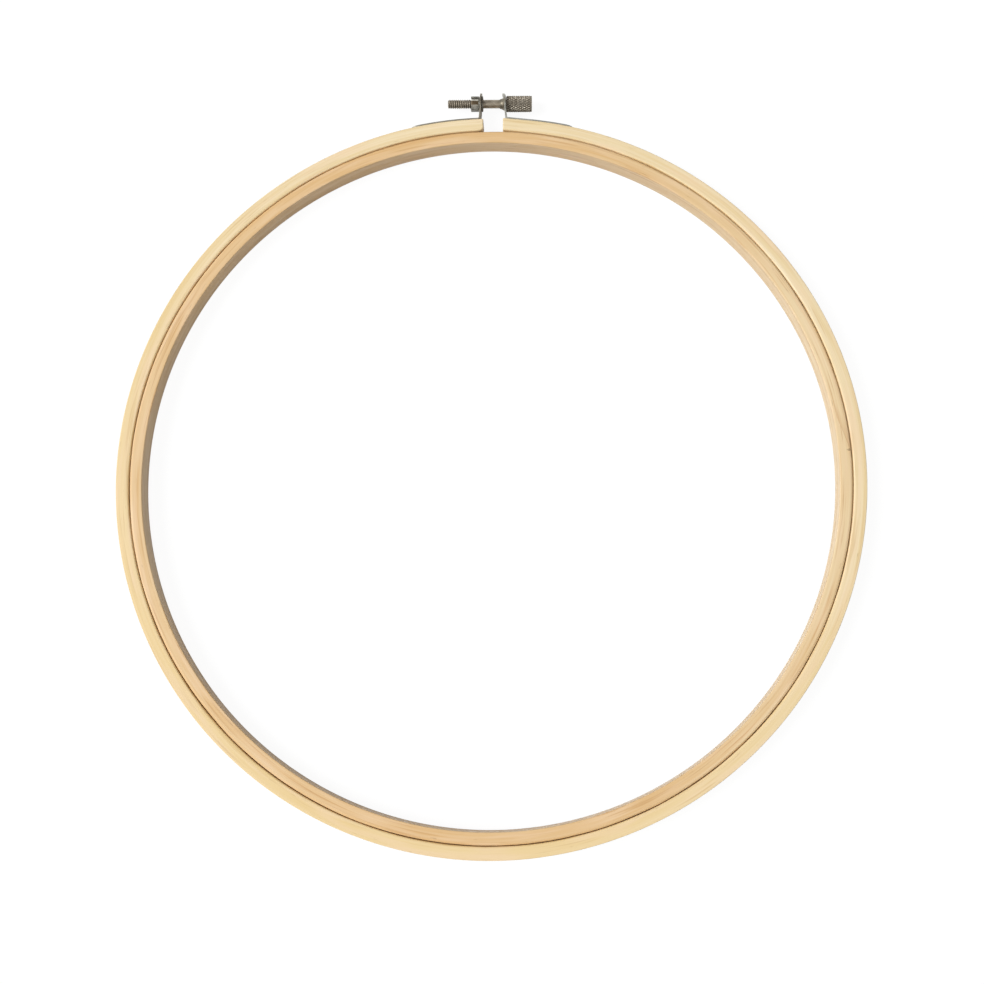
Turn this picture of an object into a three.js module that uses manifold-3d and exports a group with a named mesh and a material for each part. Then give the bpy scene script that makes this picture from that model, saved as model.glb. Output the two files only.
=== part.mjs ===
// Embroidery hoop: two bent bamboo hoops, the outer one split and drawn together by a screw clamp.
// Millimetres. The hoop lies flat: +Z is its axis, +Y points at the clamp, +X runs along the screw
// to its head. The origin is under the middle of the outline, where the hoop lies.

import * as THREE from 'three';
import { mergeVertices } from 'three/addons/utils/BufferGeometryUtils.js';
import Module from 'manifold-3d';

const wasm = await Module();
wasm.setup();

// Hoops
const hoopSize = 254; // inside diameter of the outer hoop: a 10 inch hoop
const hoopHeight = 8.5;
const outerWall = 4.6;
const innerWall = 4.4;
const hoopGap = 0.3; // room between the hoops, all round
const outerEdge = 0.5; // rounding of the outer hoop's edges
const innerEdge = 0.5; // rounding of the inner hoop's outer edges
const openingEdge = 0.9; // rounding of the inner hoop's edges at the opening

// Split in the outer hoop: each end keeps a short straight run, as a bent strip does
const splitLeft = 3.3; // end face, from the middle of the clamp
const splitRight = 3.95;
const straightLeft = 4;
const straightRight = 9.5;
const easeAlong = 3; // the left end's inner corner is rubbed down, over this length of the strip
const easeAcross = 1.1; // and this much of its end face

// Brackets of sheet steel: a strip along the hoop, bent up into an ear with a round end
const sheet = 0.5;
const bracketWidth = 7.7;
const stripLength = 24.2; // from the bend to the round tail
const bendInside = 0.35; // inside radius of the bend
const earLeft = 4.15; // ear's face at the split, from the middle of the clamp
const earRight = 4.4;
const screwStandoff = 7.6; // screw axis, out from the outside of the hoop
const leanLeft = 4.8; // degrees that an ear's foot leans towards the split
const leanRight = 8;
const leanEnd = 2.6; // where the ear stands straight again, below the screw axis
const curlFromLeft = 2.2; // where the ear's end starts to curl towards the split, above the axis
const curlFromRight = 1;
const curlRadius = 4;
const curlLeft = 8; // degrees
const curlRight = 26;

// Collar drawn out of the head side ear, towards the split
const collarLength = 1.8;
const collarMouth = 3.3; // outside diameters
const collarFoot = 5.2;

// Thumbscrew
const screwDiameter = 2.95;
const screwReach = 16.6; // from the middle of the clamp to the screw's tip
const tipChamfer = 0.35;
const headDiameter = 5.65;
const headLength = 9.5;
const headChamfer = 0.3;
const knurlCount = 20; // diamonds round the head
const knurlPitch = 1.6; // from one diamond to the next along the head
const knurlDepth = 0.24;

// Nut, and the cage that keeps it from turning, riveted through the nut side ear
const nutAcross = 3.7;
const nutLength = 2.75;
const nutChamfer = 1.1;
const nutTurn = 10; // degrees that the nut has turned before its corners meet the plates
const countersink = 0.15;
const cageSheet = 0.4;
const plateWidth = 3;
const plateLength = 2.95; // from the nut's seat to the end of the plate
const plateBendInside = 0.25;
const cageDisc = 5;
const rivetDiameter = 4.2;
const rimDiameter = 5.7;
const rimThickness = 0.5;

// Round-headed tacks through the strips into the bamboo
const tackShank = 1.3;
const tackHead = 3;
const tackDome = 0.65;
const tackDepth = 3.9;
const tackPoint = 1.2; // length of the pointed end
const tackPlaces = [7.5, 17.5]; // along the strip, from the bend

// Clearances
const seatGap = 0.08; // between pieces that lie on each other
const runGap = 0.06; // round a shank, and on each side of the nut

// Facets
const ringFacets = 144;
const holeFacets = 28;
const tackFacets = 16;
const edgeSteps = 2;
const roundSteps = 4;
const flareSteps = 6;
const bendStep = 15; // degrees
const curlStep = 5;
const stripStep = 2.5;

// Worked out from the sizes above
const outerInside = hoopSize / 2;
const outerOutside = outerInside + outerWall;
const innerOutside = outerInside - hoopGap;
const innerInside = innerOutside - innerWall;
const axisHeight = hoopHeight / 2;
const axisY = outerOutside + screwStandoff;
const earRadius = bracketWidth / 2;
const screwHole = screwDiameter + 2 * runGap;
const nutFlat = nutAcross / 2 - nutChamfer; // half the width of the nut's flats
const cornerAngle = Math.atan2(nutFlat, nutAcross / 2) - THREE.MathUtils.degToRad(nutTurn);
const cageInside = 2 * (Math.hypot(nutAcross / 2, nutFlat) * Math.cos(cornerAngle) + runGap);
const cageBack = earLeft + sheet + seatGap;
const nutSeat = cageBack + cageSheet; // the face that the nut is pulled against
const middleY = (axisY + earRadius - outerOutside) / 2;

const { degToRad, radToDeg } = THREE.MathUtils;

function bamboo(color) {
  return new THREE.MeshStandardMaterial({ color, roughness: 0.6, metalness: 0 });
}

function metal(color, roughness) {
  return new THREE.MeshStandardMaterial({ color, roughness, metalness: 0.9 });
}

// A closed geometry as a solid that can be joined and cut
function solid(geometry) {
  const plain = geometry.index ? geometry.toNonIndexed() : geometry.clone();
  plain.deleteAttribute('normal');
  plain.deleteAttribute('uv');
  const merged = mergeVertices(plain, 1e-5);
  const vertProperties = new Float32Array(merged.attributes.position.array);
  const triVerts = new Uint32Array(merged.index.array);
  return new wasm.Manifold(new wasm.Mesh({ numProp: 3, vertProperties, triVerts }));
}

function toGeometry(manifold) {
  const { vertProperties, triVerts } = manifold.getMesh();
  const geometry = new THREE.BufferGeometry();
  geometry.setAttribute('position', new THREE.BufferAttribute(new Float32Array(vertProperties), 3));
  geometry.setIndex(new THREE.BufferAttribute(new Uint32Array(triVerts), 1));
  return geometry;
}

// Turned shapes: a profile of [radius, distance along the axis], about X or about Z
function turned(profile, facets) {
  return new THREE.LatheGeometry(profile.map(([radius, along]) => new THREE.Vector2(radius, along)), facets);
}

function turnedX(profile, facets = holeFacets) {
  return turned(profile, facets).rotateZ(-Math.PI / 2);
}

function turnedZ(profile, facets) {
  return turned(profile, facets).rotateX(Math.PI / 2);
}

function rod(diameter, from, to) {
  return [[0, from], [diameter / 2, from], [diameter / 2, to], [0, to]];
}

// Rounded corner of a profile, between two angles in degrees
function corner(x, y, radius, from, to, steps = edgeSteps) {
  return Array.from({ length: steps + 1 }, (_, i) => {
    const angle = degToRad(from + ((to - from) * i) / steps);
    return [x + radius * Math.cos(angle), y + radius * Math.sin(angle)];
  });
}

// Where a side of the outer hoop leaves its circle for its straight run, as an angle from the
// clamp's middle
function leaveAngle(side) {
  const middle = outerInside + outerWall / 2;
  const straight = side > 0 ? straightRight : straightLeft;
  const end = side > 0 ? splitRight : splitLeft;
  return Math.asin(end / Math.hypot(middle, straight)) + Math.atan2(straight, middle);
}

// The straight run at a given radius, from the circle to a given distance from the middle
function straightRun(side, radius, end) {
  const leave = leaveAngle(side);
  const length = (radius * Math.sin(leave) - end) / Math.cos(leave);
  const tip = new THREE.Vector2(side * end, radius * Math.cos(leave) + length * Math.sin(leave));
  return { length, tip };
}

// The left end's inner corner, from the end face round to the inside of the strip
function easedCorner() {
  const { tip } = straightRun(-1, outerInside, splitLeft);
  const onFace = straightRun(-1, outerInside + easeAcross, splitLeft).tip;
  const onInside = new THREE.Vector2(-easeAlong, 0).rotateAround(new THREE.Vector2(), leaveAngle(-1)).add(tip);
  return new THREE.QuadraticBezierCurve(onFace, tip, onInside).getPoints(roundSteps);
}

// Outer hoop: one strip, bent nearly to a circle
function outerHoop() {
  const top = Math.PI / 2;
  const right = top - leaveAngle(1);
  const left = top + leaveAngle(-1);
  const outline = new THREE.Shape();
  const lineToTip = (side, radius, end) => {
    const { tip } = straightRun(side, radius, end);
    outline.lineTo(tip.x, tip.y);
  };
  outline.absarc(0, 0, outerOutside, right, left, true);
  lineToTip(-1, outerOutside, splitLeft);
  easedCorner().forEach((point) => outline.lineTo(point.x, point.y));
  outline.absarc(0, 0, outerInside, left, right, false);
  lineToTip(1, outerInside, splitRight);
  lineToTip(1, outerOutside, splitRight);
  outline.closePath();

  const strip = new THREE.ExtrudeGeometry(outline, {
    depth: hoopHeight - 2 * outerEdge,
    bevelThickness: outerEdge,
    bevelSize: outerEdge,
    bevelOffset: -outerEdge,
    bevelSegments: edgeSteps,
    curveSegments: ringFacets / 2,
  });
  return toGeometry(drillForTacks(solid(strip.translate(0, 0, outerEdge)), [-1, 1]));
}

// Inner hoop: a strip bent and glued into a closed ring
function innerHoop() {
  const high = hoopHeight;
  const profile = [
    ...corner(innerInside + openingEdge, openingEdge, openingEdge, 180, 270),
    ...corner(innerOutside - innerEdge, innerEdge, innerEdge, 270, 360),
    ...corner(innerOutside - innerEdge, high - innerEdge, innerEdge, 0, 90),
    ...corner(innerInside + openingEdge, high - openingEdge, openingEdge, 90, 180),
  ];
  return turnedZ([...profile, profile[0]], ringFacets);
}

// Outline of a bent sheet, seen on its edge. Each run goes straight on for a length, or bends by an
// angle, positive to the left, at its middle radius.
function bentSheet(start, heading, thickness, runs) {
  const leftSide = [];
  const rightSide = [];
  const place = start.clone();
  let course = degToRad(heading);
  const go = (length) => place.add(new THREE.Vector2(length, 0).rotateAround(new THREE.Vector2(), course));
  const mark = () => {
    const across = new THREE.Vector2(0, thickness / 2).rotateAround(new THREE.Vector2(), course);
    leftSide.push(place.clone().add(across));
    rightSide.unshift(place.clone().sub(across));
  };
  mark();
  for (const { length, bend, radius, step } of runs) {
    if (bend === undefined) {
      go(length);
      mark();
    } else {
      const steps = Math.ceil(Math.abs(bend) / step);
      const turn = degToRad(bend / steps);
      for (let i = 0; i < steps; i += 1) {
        course += turn / 2;
        go(2 * radius * Math.sin(Math.abs(turn) / 2));
        course += turn / 2;
        mark();
      }
    }
  }
  return [...leftSide, ...rightSide];
}

// The route of a bracket's sheet: along the outside of the hoop, round its bend and up the ear's
// foot, which leans, to where the ear stands straight
function sheetRoute(side) {
  const leave = leaveAngle(side);
  const radius = outerOutside + seatGap + sheet / 2;
  const bend = bendInside + sheet / 2;
  const lean = degToRad(side > 0 ? leanRight : leanLeft);
  const ear = (side > 0 ? earRight : earLeft) + sheet / 2;
  const rise = axisY - leanEnd - straightRun(side, radius, ear).tip.y;
  const foot = rise / (Math.cos(lean) - Math.sin(lean) * Math.tan(leave));
  const turn = Math.PI / 2 - leave - lean;
  const trim = bend * Math.tan(turn / 2);
  const straight = straightRun(side, radius, ear + foot * Math.sin(lean)).length - trim;
  const arc = (stripLength - straight) / radius;
  return { leave, radius, bend, turn, lean, foot: foot - trim, straight, arc };
}

// A place on the outside of the hoop, at a distance along the strip from its bend: +Z stands out
// from the hoop there, and +X points at the strip's tail
function stripPlace(side, along) {
  const { leave, radius, straight } = sheetRoute(side);
  const angle = leave + Math.max(along - straight, 0) / radius;
  const short = Math.max(straight - along, 0);
  return new THREE.Matrix4()
    .makeTranslation(0, 0, axisHeight)
    .multiply(new THREE.Matrix4().makeRotationZ(-side * angle))
    .multiply(new THREE.Matrix4().makeTranslation(-side * short, outerOutside, 0))
    .multiply(new THREE.Matrix4().makeRotationX(-Math.PI / 2))
    .multiply(new THREE.Matrix4().makeRotationZ(side > 0 ? 0 : Math.PI));
}

function drillForTacks(body, sides) {
  const hole = rod(tackShank + 2 * runGap, -tackDepth - seatGap, 2 * sheet);
  const drills = sides.flatMap((side) => tackPlaces.map((place) => (
    solid(turnedZ(hole, tackFacets).applyMatrix4(stripPlace(side, place)))
  )));
  return drills.reduce((rest, drill) => rest.subtract(drill), body);
}

// What is cut away to leave a round end as wide as the bracket: flat on XY, the end at +X
function roundEndCutter(depth) {
  const past = bracketWidth;
  const shape = new THREE.Shape();
  shape.absarc(0, 0, earRadius, Math.PI / 2, -Math.PI / 2, true);
  shape.lineTo(0, -past);
  shape.lineTo(past, -past);
  shape.lineTo(past, past);
  shape.lineTo(0, past);
  shape.closePath();
  const options = { depth, bevelEnabled: false, curveSegments: holeFacets / 4 };
  return new THREE.ExtrudeGeometry(shape, options).translate(0, 0, -depth / 2);
}

// The bent and rounded sheet of a bracket, drilled for its tacks
function bracketBlank(side, curlFrom, curl) {
  const { leave, radius, bend, turn, lean, foot, straight, arc } = sheetRoute(side);
  const tail = leave + arc;
  const start = new THREE.Vector2(radius * Math.sin(tail), radius * Math.cos(tail));
  const trim = curlRadius * Math.tan(lean / 2);
  const outline = bentSheet(start, 180 - radToDeg(tail), sheet, [
    { bend: radToDeg(arc), radius, step: stripStep },
    { length: straight },
    { bend: -radToDeg(turn), radius: bend, step: bendStep },
    { length: foot - trim },
    { bend: -radToDeg(lean), radius: curlRadius, step: curlStep },
    { length: leanEnd + curlFrom - trim },
    { bend: curl, radius: curlRadius, step: curlStep },
    { length: earRadius },
  ]);
  const shape = new THREE.Shape(outline.map((point) => new THREE.Vector2(side * point.x, point.y)));
  const bent = new THREE.ExtrudeGeometry(shape, { depth: bracketWidth, bevelEnabled: false });

  const earEnd = roundEndCutter(2 * (earLeft + earRight)).rotateZ(Math.PI / 2).rotateY(Math.PI / 2);
  const tailEnd = roundEndCutter(8 * sheet).applyMatrix4(stripPlace(side, stripLength - earRadius));
  return drillForTacks(solid(bent.translate(0, 0, axisHeight - earRadius)), [side])
    .subtract(solid(earEnd.translate(0, axisY, axisHeight)))
    .subtract(solid(tailEnd));
}

function onScrewAxis(geometry) {
  return solid(geometry.translate(0, axisY, axisHeight));
}

function nutSideBracket() {
  const hole = turnedX(rod(rivetDiameter + 2 * runGap, -2 * earLeft, 0));
  return toGeometry(bracketBlank(-1, curlFromLeft, curlLeft).subtract(onScrewAxis(hole)));
}

// The head side ear is drawn into a trumpet-shaped collar round the screw
function headSideBracket() {
  const mouth = earRight - collarLength;
  const flare = Array.from({ length: flareSteps + 1 }, (_, i) => {
    const share = i / flareSteps;
    const radius = collarMouth / 2 + ((collarFoot - collarMouth) / 2) * share ** 2;
    return [radius, mouth + collarLength * share];
  });
  const within = earRight + sheet / 2;
  const collar = [[0, mouth], ...flare, [collarFoot / 2, within], [0, within]];
  return toGeometry(bracketBlank(1, curlFromRight, curlRight)
    .add(onScrewAxis(turnedX(collar)))
    .subtract(onScrewAxis(turnedX(rod(screwHole, 0, 2 * earRight)))));
}

// Nut cage: a disc behind the ear with two plates beside the nut, and a hollow rivet through the
// ear, rolled over into a rim at the split. It lies on the screw's axis.
function nutCage() {
  const bend = plateBendInside + cageSheet / 2;
  const apart = cageInside + cageSheet; // between the middles of the plates
  const reach = plateLength + cageSheet / 2 - bend;
  const start = new THREE.Vector2(-nutSeat - plateLength, apart / 2);
  const outline = bentSheet(start, 0, cageSheet, [
    { length: reach },
    { bend: -90, radius: bend, step: bendStep },
    { length: apart - 2 * bend },
    { bend: -90, radius: bend, step: bendStep },
    { length: reach },
  ]);
  const plates = new THREE.ExtrudeGeometry(new THREE.Shape(outline), { depth: plateWidth, bevelEnabled: false });
  const rimFrom = -earLeft + seatGap;
  const rimRound = rimThickness / 2;
  const rivet = [
    [0, -nutSeat],
    [cageDisc / 2, -nutSeat],
    [cageDisc / 2, -cageBack],
    [rivetDiameter / 2, -cageBack],
    [rivetDiameter / 2, rimFrom],
    ...corner(rimDiameter / 2 - rimRound, rimFrom + rimRound, rimRound, -90, 90, roundSteps),
    [0, rimFrom + rimThickness],
  ];
  return toGeometry(solid(plates.translate(0, 0, -plateWidth / 2))
    .add(solid(turnedX(rivet)))
    .subtract(solid(turnedX(rod(screwHole, -2 * nutSeat, 0)))));
}

// Square nut with its long edges cut back, seated in the cage
function clampNut() {
  const outline = [0, 1, 2, 3].flatMap((quarter) => [-nutFlat, nutFlat].map((across) => (
    new THREE.Vector2(nutAcross / 2, across)
      .rotateAround(new THREE.Vector2(), (quarter * Math.PI) / 2 + degToRad(nutTurn))
  )));
  const to = -nutSeat - seatGap;
  const from = to - nutLength;
  const options = { depth: nutLength, bevelEnabled: false };
  const block = new THREE.ExtrudeGeometry(new THREE.Shape(outline), options);
  const bore = screwHole / 2;
  const wide = bore + countersink;
  const cutter = [
    [0, from - countersink],
    [wide + countersink, from - countersink],
    [bore, from + countersink],
    [bore, to - countersink],
    [wide + countersink, to + countersink],
    [0, to + countersink],
  ];
  return toGeometry(solid(block.rotateY(Math.PI / 2).translate(from, 0, 0)).subtract(solid(turnedX(cutter))));
}

// Diamond knurl: rings of points half a diamond apart, high and low by turns like a chessboard.
// The low points are where the grooves cross, and every square is folded along its groove.
function knurledHead() {
  const columns = 2 * knurlCount;
  const crest = headDiameter / 2;
  const root = crest - knurlDepth;
  const rowGap = knurlPitch / 2;
  const rows = Math.floor((headLength - 2 * headChamfer) / rowGap);
  const margin = (headLength - rows * rowGap) / 2;
  const end = root - headChamfer;
  const rings = [{ x: 0, low: end, high: end }];
  for (let row = 0; row <= rows; row += 1) {
    rings.push({ x: margin + row * rowGap, low: root, high: crest });
  }
  rings.push({ x: headLength, low: end, high: end });

  const points = [];
  const faces = [];
  const isLow = (ring, column) => (ring + column) % 2 === 0;
  rings.forEach(({ x, low, high }, ring) => {
    for (let column = 0; column < columns; column += 1) {
      const angle = (2 * Math.PI * column) / columns;
      const radius = isLow(ring, column) ? low : high;
      points.push(x, radius * Math.cos(angle), radius * Math.sin(angle));
    }
  });
  const at = (ring, column) => ring * columns + (column % columns);
  for (let ring = 0; ring < rings.length - 1; ring += 1) {
    for (let column = 0; column < columns; column += 1) {
      const [a, b] = [at(ring, column), at(ring, column + 1)];
      const [c, d] = [at(ring + 1, column), at(ring + 1, column + 1)];
      faces.push(...(isLow(ring, column) ? [a, b, d, a, d, c] : [a, b, c, b, d, c]));
    }
  }
  const first = points.length / 3;
  points.push(0, 0, 0, headLength, 0, 0);
  for (let column = 0; column < columns; column += 1) {
    faces.push(first, at(0, column + 1), at(0, column));
    faces.push(first + 1, at(rings.length - 1, column), at(rings.length - 1, column + 1));
  }
  const geometry = new THREE.BufferGeometry();
  geometry.setAttribute('position', new THREE.Float32BufferAttribute(points, 3));
  geometry.setIndex(faces);
  return geometry;
}

// Thumbscrew: knurled head and shank, turned in one piece
function thumbscrew() {
  const headFrom = earRight + sheet + seatGap;
  const shank = [
    [0, -screwReach],
    [screwDiameter / 2 - tipChamfer, -screwReach],
    [screwDiameter / 2, -screwReach + tipChamfer],
    [screwDiameter / 2, headFrom + headLength / 2],
    [0, headFrom + headLength / 2],
  ];
  const head = knurledHead().translate(headFrom, 0, 0);
  return toGeometry(solid(head).add(solid(turnedX(shank))));
}

// Tack: its head rests on the strip, its point in the bamboo. Z = 0 is the outside of the hoop.
function tack() {
  const under = sheet + 2 * seatGap;
  const rim = tackDome / 4;
  const dome = Array.from({ length: roundSteps }, (_, i) => {
    const angle = (Math.PI / 2) * (i / roundSteps);
    return [(tackHead / 2) * Math.cos(angle), under + rim + (tackDome - rim) * Math.sin(angle)];
  });
  const profile = [
    [0, -tackDepth],
    [tackShank / 2, tackPoint - tackDepth],
    [tackShank / 2, under],
    [tackHead / 2, under],
    ...dome,
    [0, under + tackDome],
  ];
  return turnedZ(profile, tackFacets);
}

function named(name, geometry, material) {
  const mesh = new THREE.Mesh(geometry, material);
  mesh.name = name;
  return mesh;
}

// The hoops and the brackets are drawn about the hoop's own middle, the clamp's other pieces about
// the screw's axis
const embroideryHoop = new THREE.Group();
embroideryHoop.position.y = -middleY;
embroideryHoop.add(named('outer_hoop', outerHoop(), bamboo('#f0d6aa')));
embroideryHoop.add(named('inner_hoop', innerHoop(), bamboo('#e6c391')));
embroideryHoop.add(named('nut_side_bracket', nutSideBracket(), metal('#a4a5a3', 0.35)));
embroideryHoop.add(named('head_side_bracket', headSideBracket(), metal('#a4a5a3', 0.35)));

for (const side of [-1, 1]) {
  tackPlaces.forEach((place, i) => {
    const name = `${side < 0 ? 'nut' : 'head'}_side_tack_${i + 1}`;
    const mesh = named(name, tack(), metal('#b0aea8', 0.4));
    mesh.applyMatrix4(stripPlace(side, place));
    embroideryHoop.add(mesh);
  });
}

const clamp = new THREE.Group();
clamp.position.set(0, axisY, axisHeight);
clamp.add(named('nut_cage', nutCage(), metal('#9a9b99', 0.35)));
clamp.add(named('clamp_nut', clampNut(), metal('#8f826d', 0.35)));
clamp.add(named('thumbscrew', thumbscrew(), metal('#8f826d', 0.32)));
embroideryHoop.add(clamp);

export default embroideryHoop;
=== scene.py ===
import math

import bmesh
import bpy
import numpy as np
from mathutils import Matrix, Vector


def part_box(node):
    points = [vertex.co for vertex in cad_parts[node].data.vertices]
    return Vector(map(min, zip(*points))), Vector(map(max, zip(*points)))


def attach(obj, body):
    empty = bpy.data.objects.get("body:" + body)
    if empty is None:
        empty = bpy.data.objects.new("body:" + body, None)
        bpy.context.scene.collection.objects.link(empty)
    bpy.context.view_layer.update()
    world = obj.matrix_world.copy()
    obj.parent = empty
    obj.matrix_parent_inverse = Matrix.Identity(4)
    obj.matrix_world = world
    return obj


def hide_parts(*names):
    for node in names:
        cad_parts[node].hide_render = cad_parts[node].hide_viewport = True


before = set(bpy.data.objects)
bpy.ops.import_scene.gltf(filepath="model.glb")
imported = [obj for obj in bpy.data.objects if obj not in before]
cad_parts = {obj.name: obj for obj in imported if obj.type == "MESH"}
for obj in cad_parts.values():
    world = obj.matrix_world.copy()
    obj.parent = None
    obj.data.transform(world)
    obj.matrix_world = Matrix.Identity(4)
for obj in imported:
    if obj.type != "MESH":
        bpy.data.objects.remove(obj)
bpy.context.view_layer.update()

# Embroidery hoop: two bamboo hoops, the outer one split and drawn together by a screw clamp.
# Metres, in the CAD's frame. Sizes in the dictionaries are millimetres and degrees.

mm = 0.001
scene = bpy.context.scene


# Helpers

def plug(tree, value, socket):  # links a node or an output to the socket, or sets its value
    if isinstance(value, bpy.types.Node):
        value = next(o for o in value.outputs if o.enabled)
    if isinstance(value, bpy.types.NodeSocket):
        tree.links.new(value, socket)
    else:
        socket.default_value = value


def add(tree, kind, inputs=None, **settings):
    node = tree.nodes.new(kind)
    for name, value in settings.items():
        setattr(node, name, value)
    for key, value in (inputs or {}).items():
        plug(tree, value, node.inputs[key] if isinstance(key, int) else next(
            s for s in node.inputs if s.enabled and key in (s.name, s.identifier)))
    return node


def chain(tree, kind, value, *steps):  # passes a value on from node to node, as (operation, other operands)
    for operation, *others in steps:
        value = add(tree, kind, {0: value, **dict(enumerate(others, 1))}, operation=operation)
    return value


def linear(code):  # sRGB hex to linear, with alpha
    channels = [int(code[i:i + 2], 16) / 255 for i in (1, 3, 5)]
    return [c / 12.92 if c <= 0.04045 else ((c + 0.055) / 1.055) ** 2.4 for c in channels] + [1.0]


def link(name, mesh):
    obj = bpy.data.objects.new(name, mesh)
    scene.collection.objects.link(obj)
    return obj


def band(one, other):  # quads between two closed loops of as many points
    n = len(one)
    return [(one[j], one[(j + 1) % n], other[(j + 1) % n], other[j]) for j in range(n)]


def bands(count, size, first=0):  # the same along a row of loops whose points are numbered on
    loops = [range(first + i * size, first + (i + 1) * size) for i in range(count)]
    return [face for one, other in zip(loops, loops[1:]) for face in band(one, other)]


def shell(name, points, faces, *materials):  # points in millimetres
    mesh = bpy.data.meshes.new(name)
    mesh.from_pydata([tuple(p) for p in points], [], faces)
    work = bmesh.new()
    work.from_mesh(mesh)
    bmesh.ops.remove_doubles(work, verts=work.verts, dist=1e-4)
    bmesh.ops.recalc_face_normals(work, faces=work.faces)
    work.to_mesh(mesh)
    work.free()
    for material in materials:
        mesh.materials.append(material)
    return link(name, mesh)


def settle(obj, scale=1.0, sharp=35):  # keeps what the modifiers made as the plain mesh
    graph = bpy.context.evaluated_depsgraph_get()
    evaluated = obj.evaluated_get(graph)
    made = bpy.data.meshes.new_from_object(evaluated, preserve_all_data_layers=True, depsgraph=graph)
    old = obj.data
    obj.modifiers.clear()
    obj.data = made
    made.name = obj.name
    bpy.data.meshes.remove(old)
    made.transform(Matrix.Scale(scale, 4))
    made.shade_smooth()
    made.set_sharp_from_angle(angle=math.radians(sharp))
    return obj


def rounded(obj, width, segments=2, limit=50, scale=1.0):  # rounds the edges that turn by more than the limit
    bevel = obj.modifiers.new("edge", "BEVEL")
    bevel.width = width
    bevel.segments = segments
    bevel.limit_method = "ANGLE"
    bevel.angle_limit = math.radians(limit)
    return settle(obj, scale)


def joined(obj, other, operation):
    modifier = obj.modifiers.new(operation.lower(), "BOOLEAN")
    modifier.operation = operation
    modifier.solver = "EXACT"
    modifier.object = other
    settle(obj)
    bpy.data.objects.remove(other)


def newTree(name, sizes):  # a node tree with named inputs; returns it with its inputs and its output
    tree = bpy.data.node_groups.new(name, "GeometryNodeTree")
    tree.interface.new_socket("Geometry", in_out="INPUT", socket_type="NodeSocketGeometry")
    tree.interface.new_socket("Geometry", in_out="OUTPUT", socket_type="NodeSocketGeometry")
    for label, kind in sizes.items():
        tree.interface.new_socket(label, in_out="INPUT", socket_type="NodeSocket" + kind)
    given = add(tree, "NodeGroupInput")
    return tree, {s.name: s for s in given.outputs}, add(tree, "NodeGroupOutput").inputs[0]


def endTree(tree, size, made, output):  # the last nodes of every piece's tree
    made = add(tree, "GeometryNodeRealizeInstances", {"Geometry": made})
    made = add(tree, "GeometryNodeSetMaterial", {"Geometry": made, "Material": size["Material"]})
    plug(tree, made, output)
    return tree


def grow(obj, tree, values, sharp=35):  # runs a node tree on an object with these values
    modifier = obj.modifiers.new(tree.name, "NODES")
    modifier.node_group = tree
    for item in tree.interface.items_tree:
        if item.in_out == "INPUT" and item.name in values:
            modifier[item.identifier] = values[item.name]
    return settle(obj, sharp=sharp)


def newMaterial(name):  # a node material with its Principled shader
    material = bpy.data.materials.new(name)
    material.use_nodes = True
    tree = material.node_tree
    return material, tree, tree.nodes["Principled BSDF"]


def dress(tree, surface, values):  # links or sets a shader's sockets
    for name, value in values.items():
        plug(tree, value, surface.inputs[name])


def tinted(tree, colour, share, amount, code):
    part = add(tree, "ShaderNodeMath", {0: share, 1: amount}, operation="MULTIPLY")
    return add(tree, "ShaderNodeMix", {"Factor": part, "A": colour, "B": linear(code)}, data_type="RGBA")


def finishPiece(obj, body, slot, *nodes):
    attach(obj, body)
    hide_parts(*nodes)
    faces = sum(len(p.vertices) - 2 for p in obj.data.polygons)
    print(f"piece {obj.name}: {faces} triangles, in place of {', '.join(nodes)}")


def ofSide(values, name, side):  # the value for the left (-1) or the right (1) of the clamp
    return values[name + ("Right" if side > 0 else "Left")]


# Where things are, from the frame

low, high = (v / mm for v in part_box("inner_hoop"))
ringMiddle = (low + high) / 2
hoopTop = high.z
low, high = (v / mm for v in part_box("thumbscrew"))
screwAxis = (low + high) / 2
axisY = screwAxis.y - ringMiddle.y  # from the hoops' middle
print("frame loaded: hoops' middle", tuple(ringMiddle), "screw axis", screwAxis.y, screwAxis.z)


# Camera, at the photograph's place

camera = {
    "distance": 461.0,  # from the middle of the hoops' front
    "tiltX": 2.23,
    "tiltY": 9.73,
    "roll": 0.37,
    "lens": 48.18,
    "sensor": 36,
    "shiftX": 0.00457,
    "shiftY": -0.0204,
    "nearest": 10,
    "farthest": 50000,
}


def addCamera():
    data = bpy.data.cameras.new("camera")
    data.lens = camera["lens"]
    data.sensor_width = camera["sensor"]
    data.shift_x = camera["shiftX"]
    data.shift_y = camera["shiftY"]
    data.clip_start = camera["nearest"] * mm
    data.clip_end = camera["farthest"] * mm
    a, b = math.radians(camera["tiltX"]), math.radians(camera["tiltY"])
    right = Vector((math.cos(a), math.sin(b) * math.sin(a), -math.cos(b) * math.sin(a)))
    up = Vector((0, math.cos(b), math.sin(b)))
    back = Vector((math.sin(a), -math.sin(b) * math.cos(a), math.cos(b) * math.cos(a)))
    turn = Matrix.Rotation(math.radians(camera["roll"]), 4, "Z")
    place = Matrix((right, up, back)).transposed().to_4x4()
    place.translation = back * camera["distance"] * mm
    obj = link("camera", data)
    obj.matrix_world = Matrix.Translation(Vector((ringMiddle.x, ringMiddle.y, hoopTop)) * mm) @ turn @ place
    scene.camera = obj


addCamera()
scene.view_settings.view_transform = "Standard"
print("camera placed")


# Stage: a white board, one large soft lamp from the left and a weak one from the lower right

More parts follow.
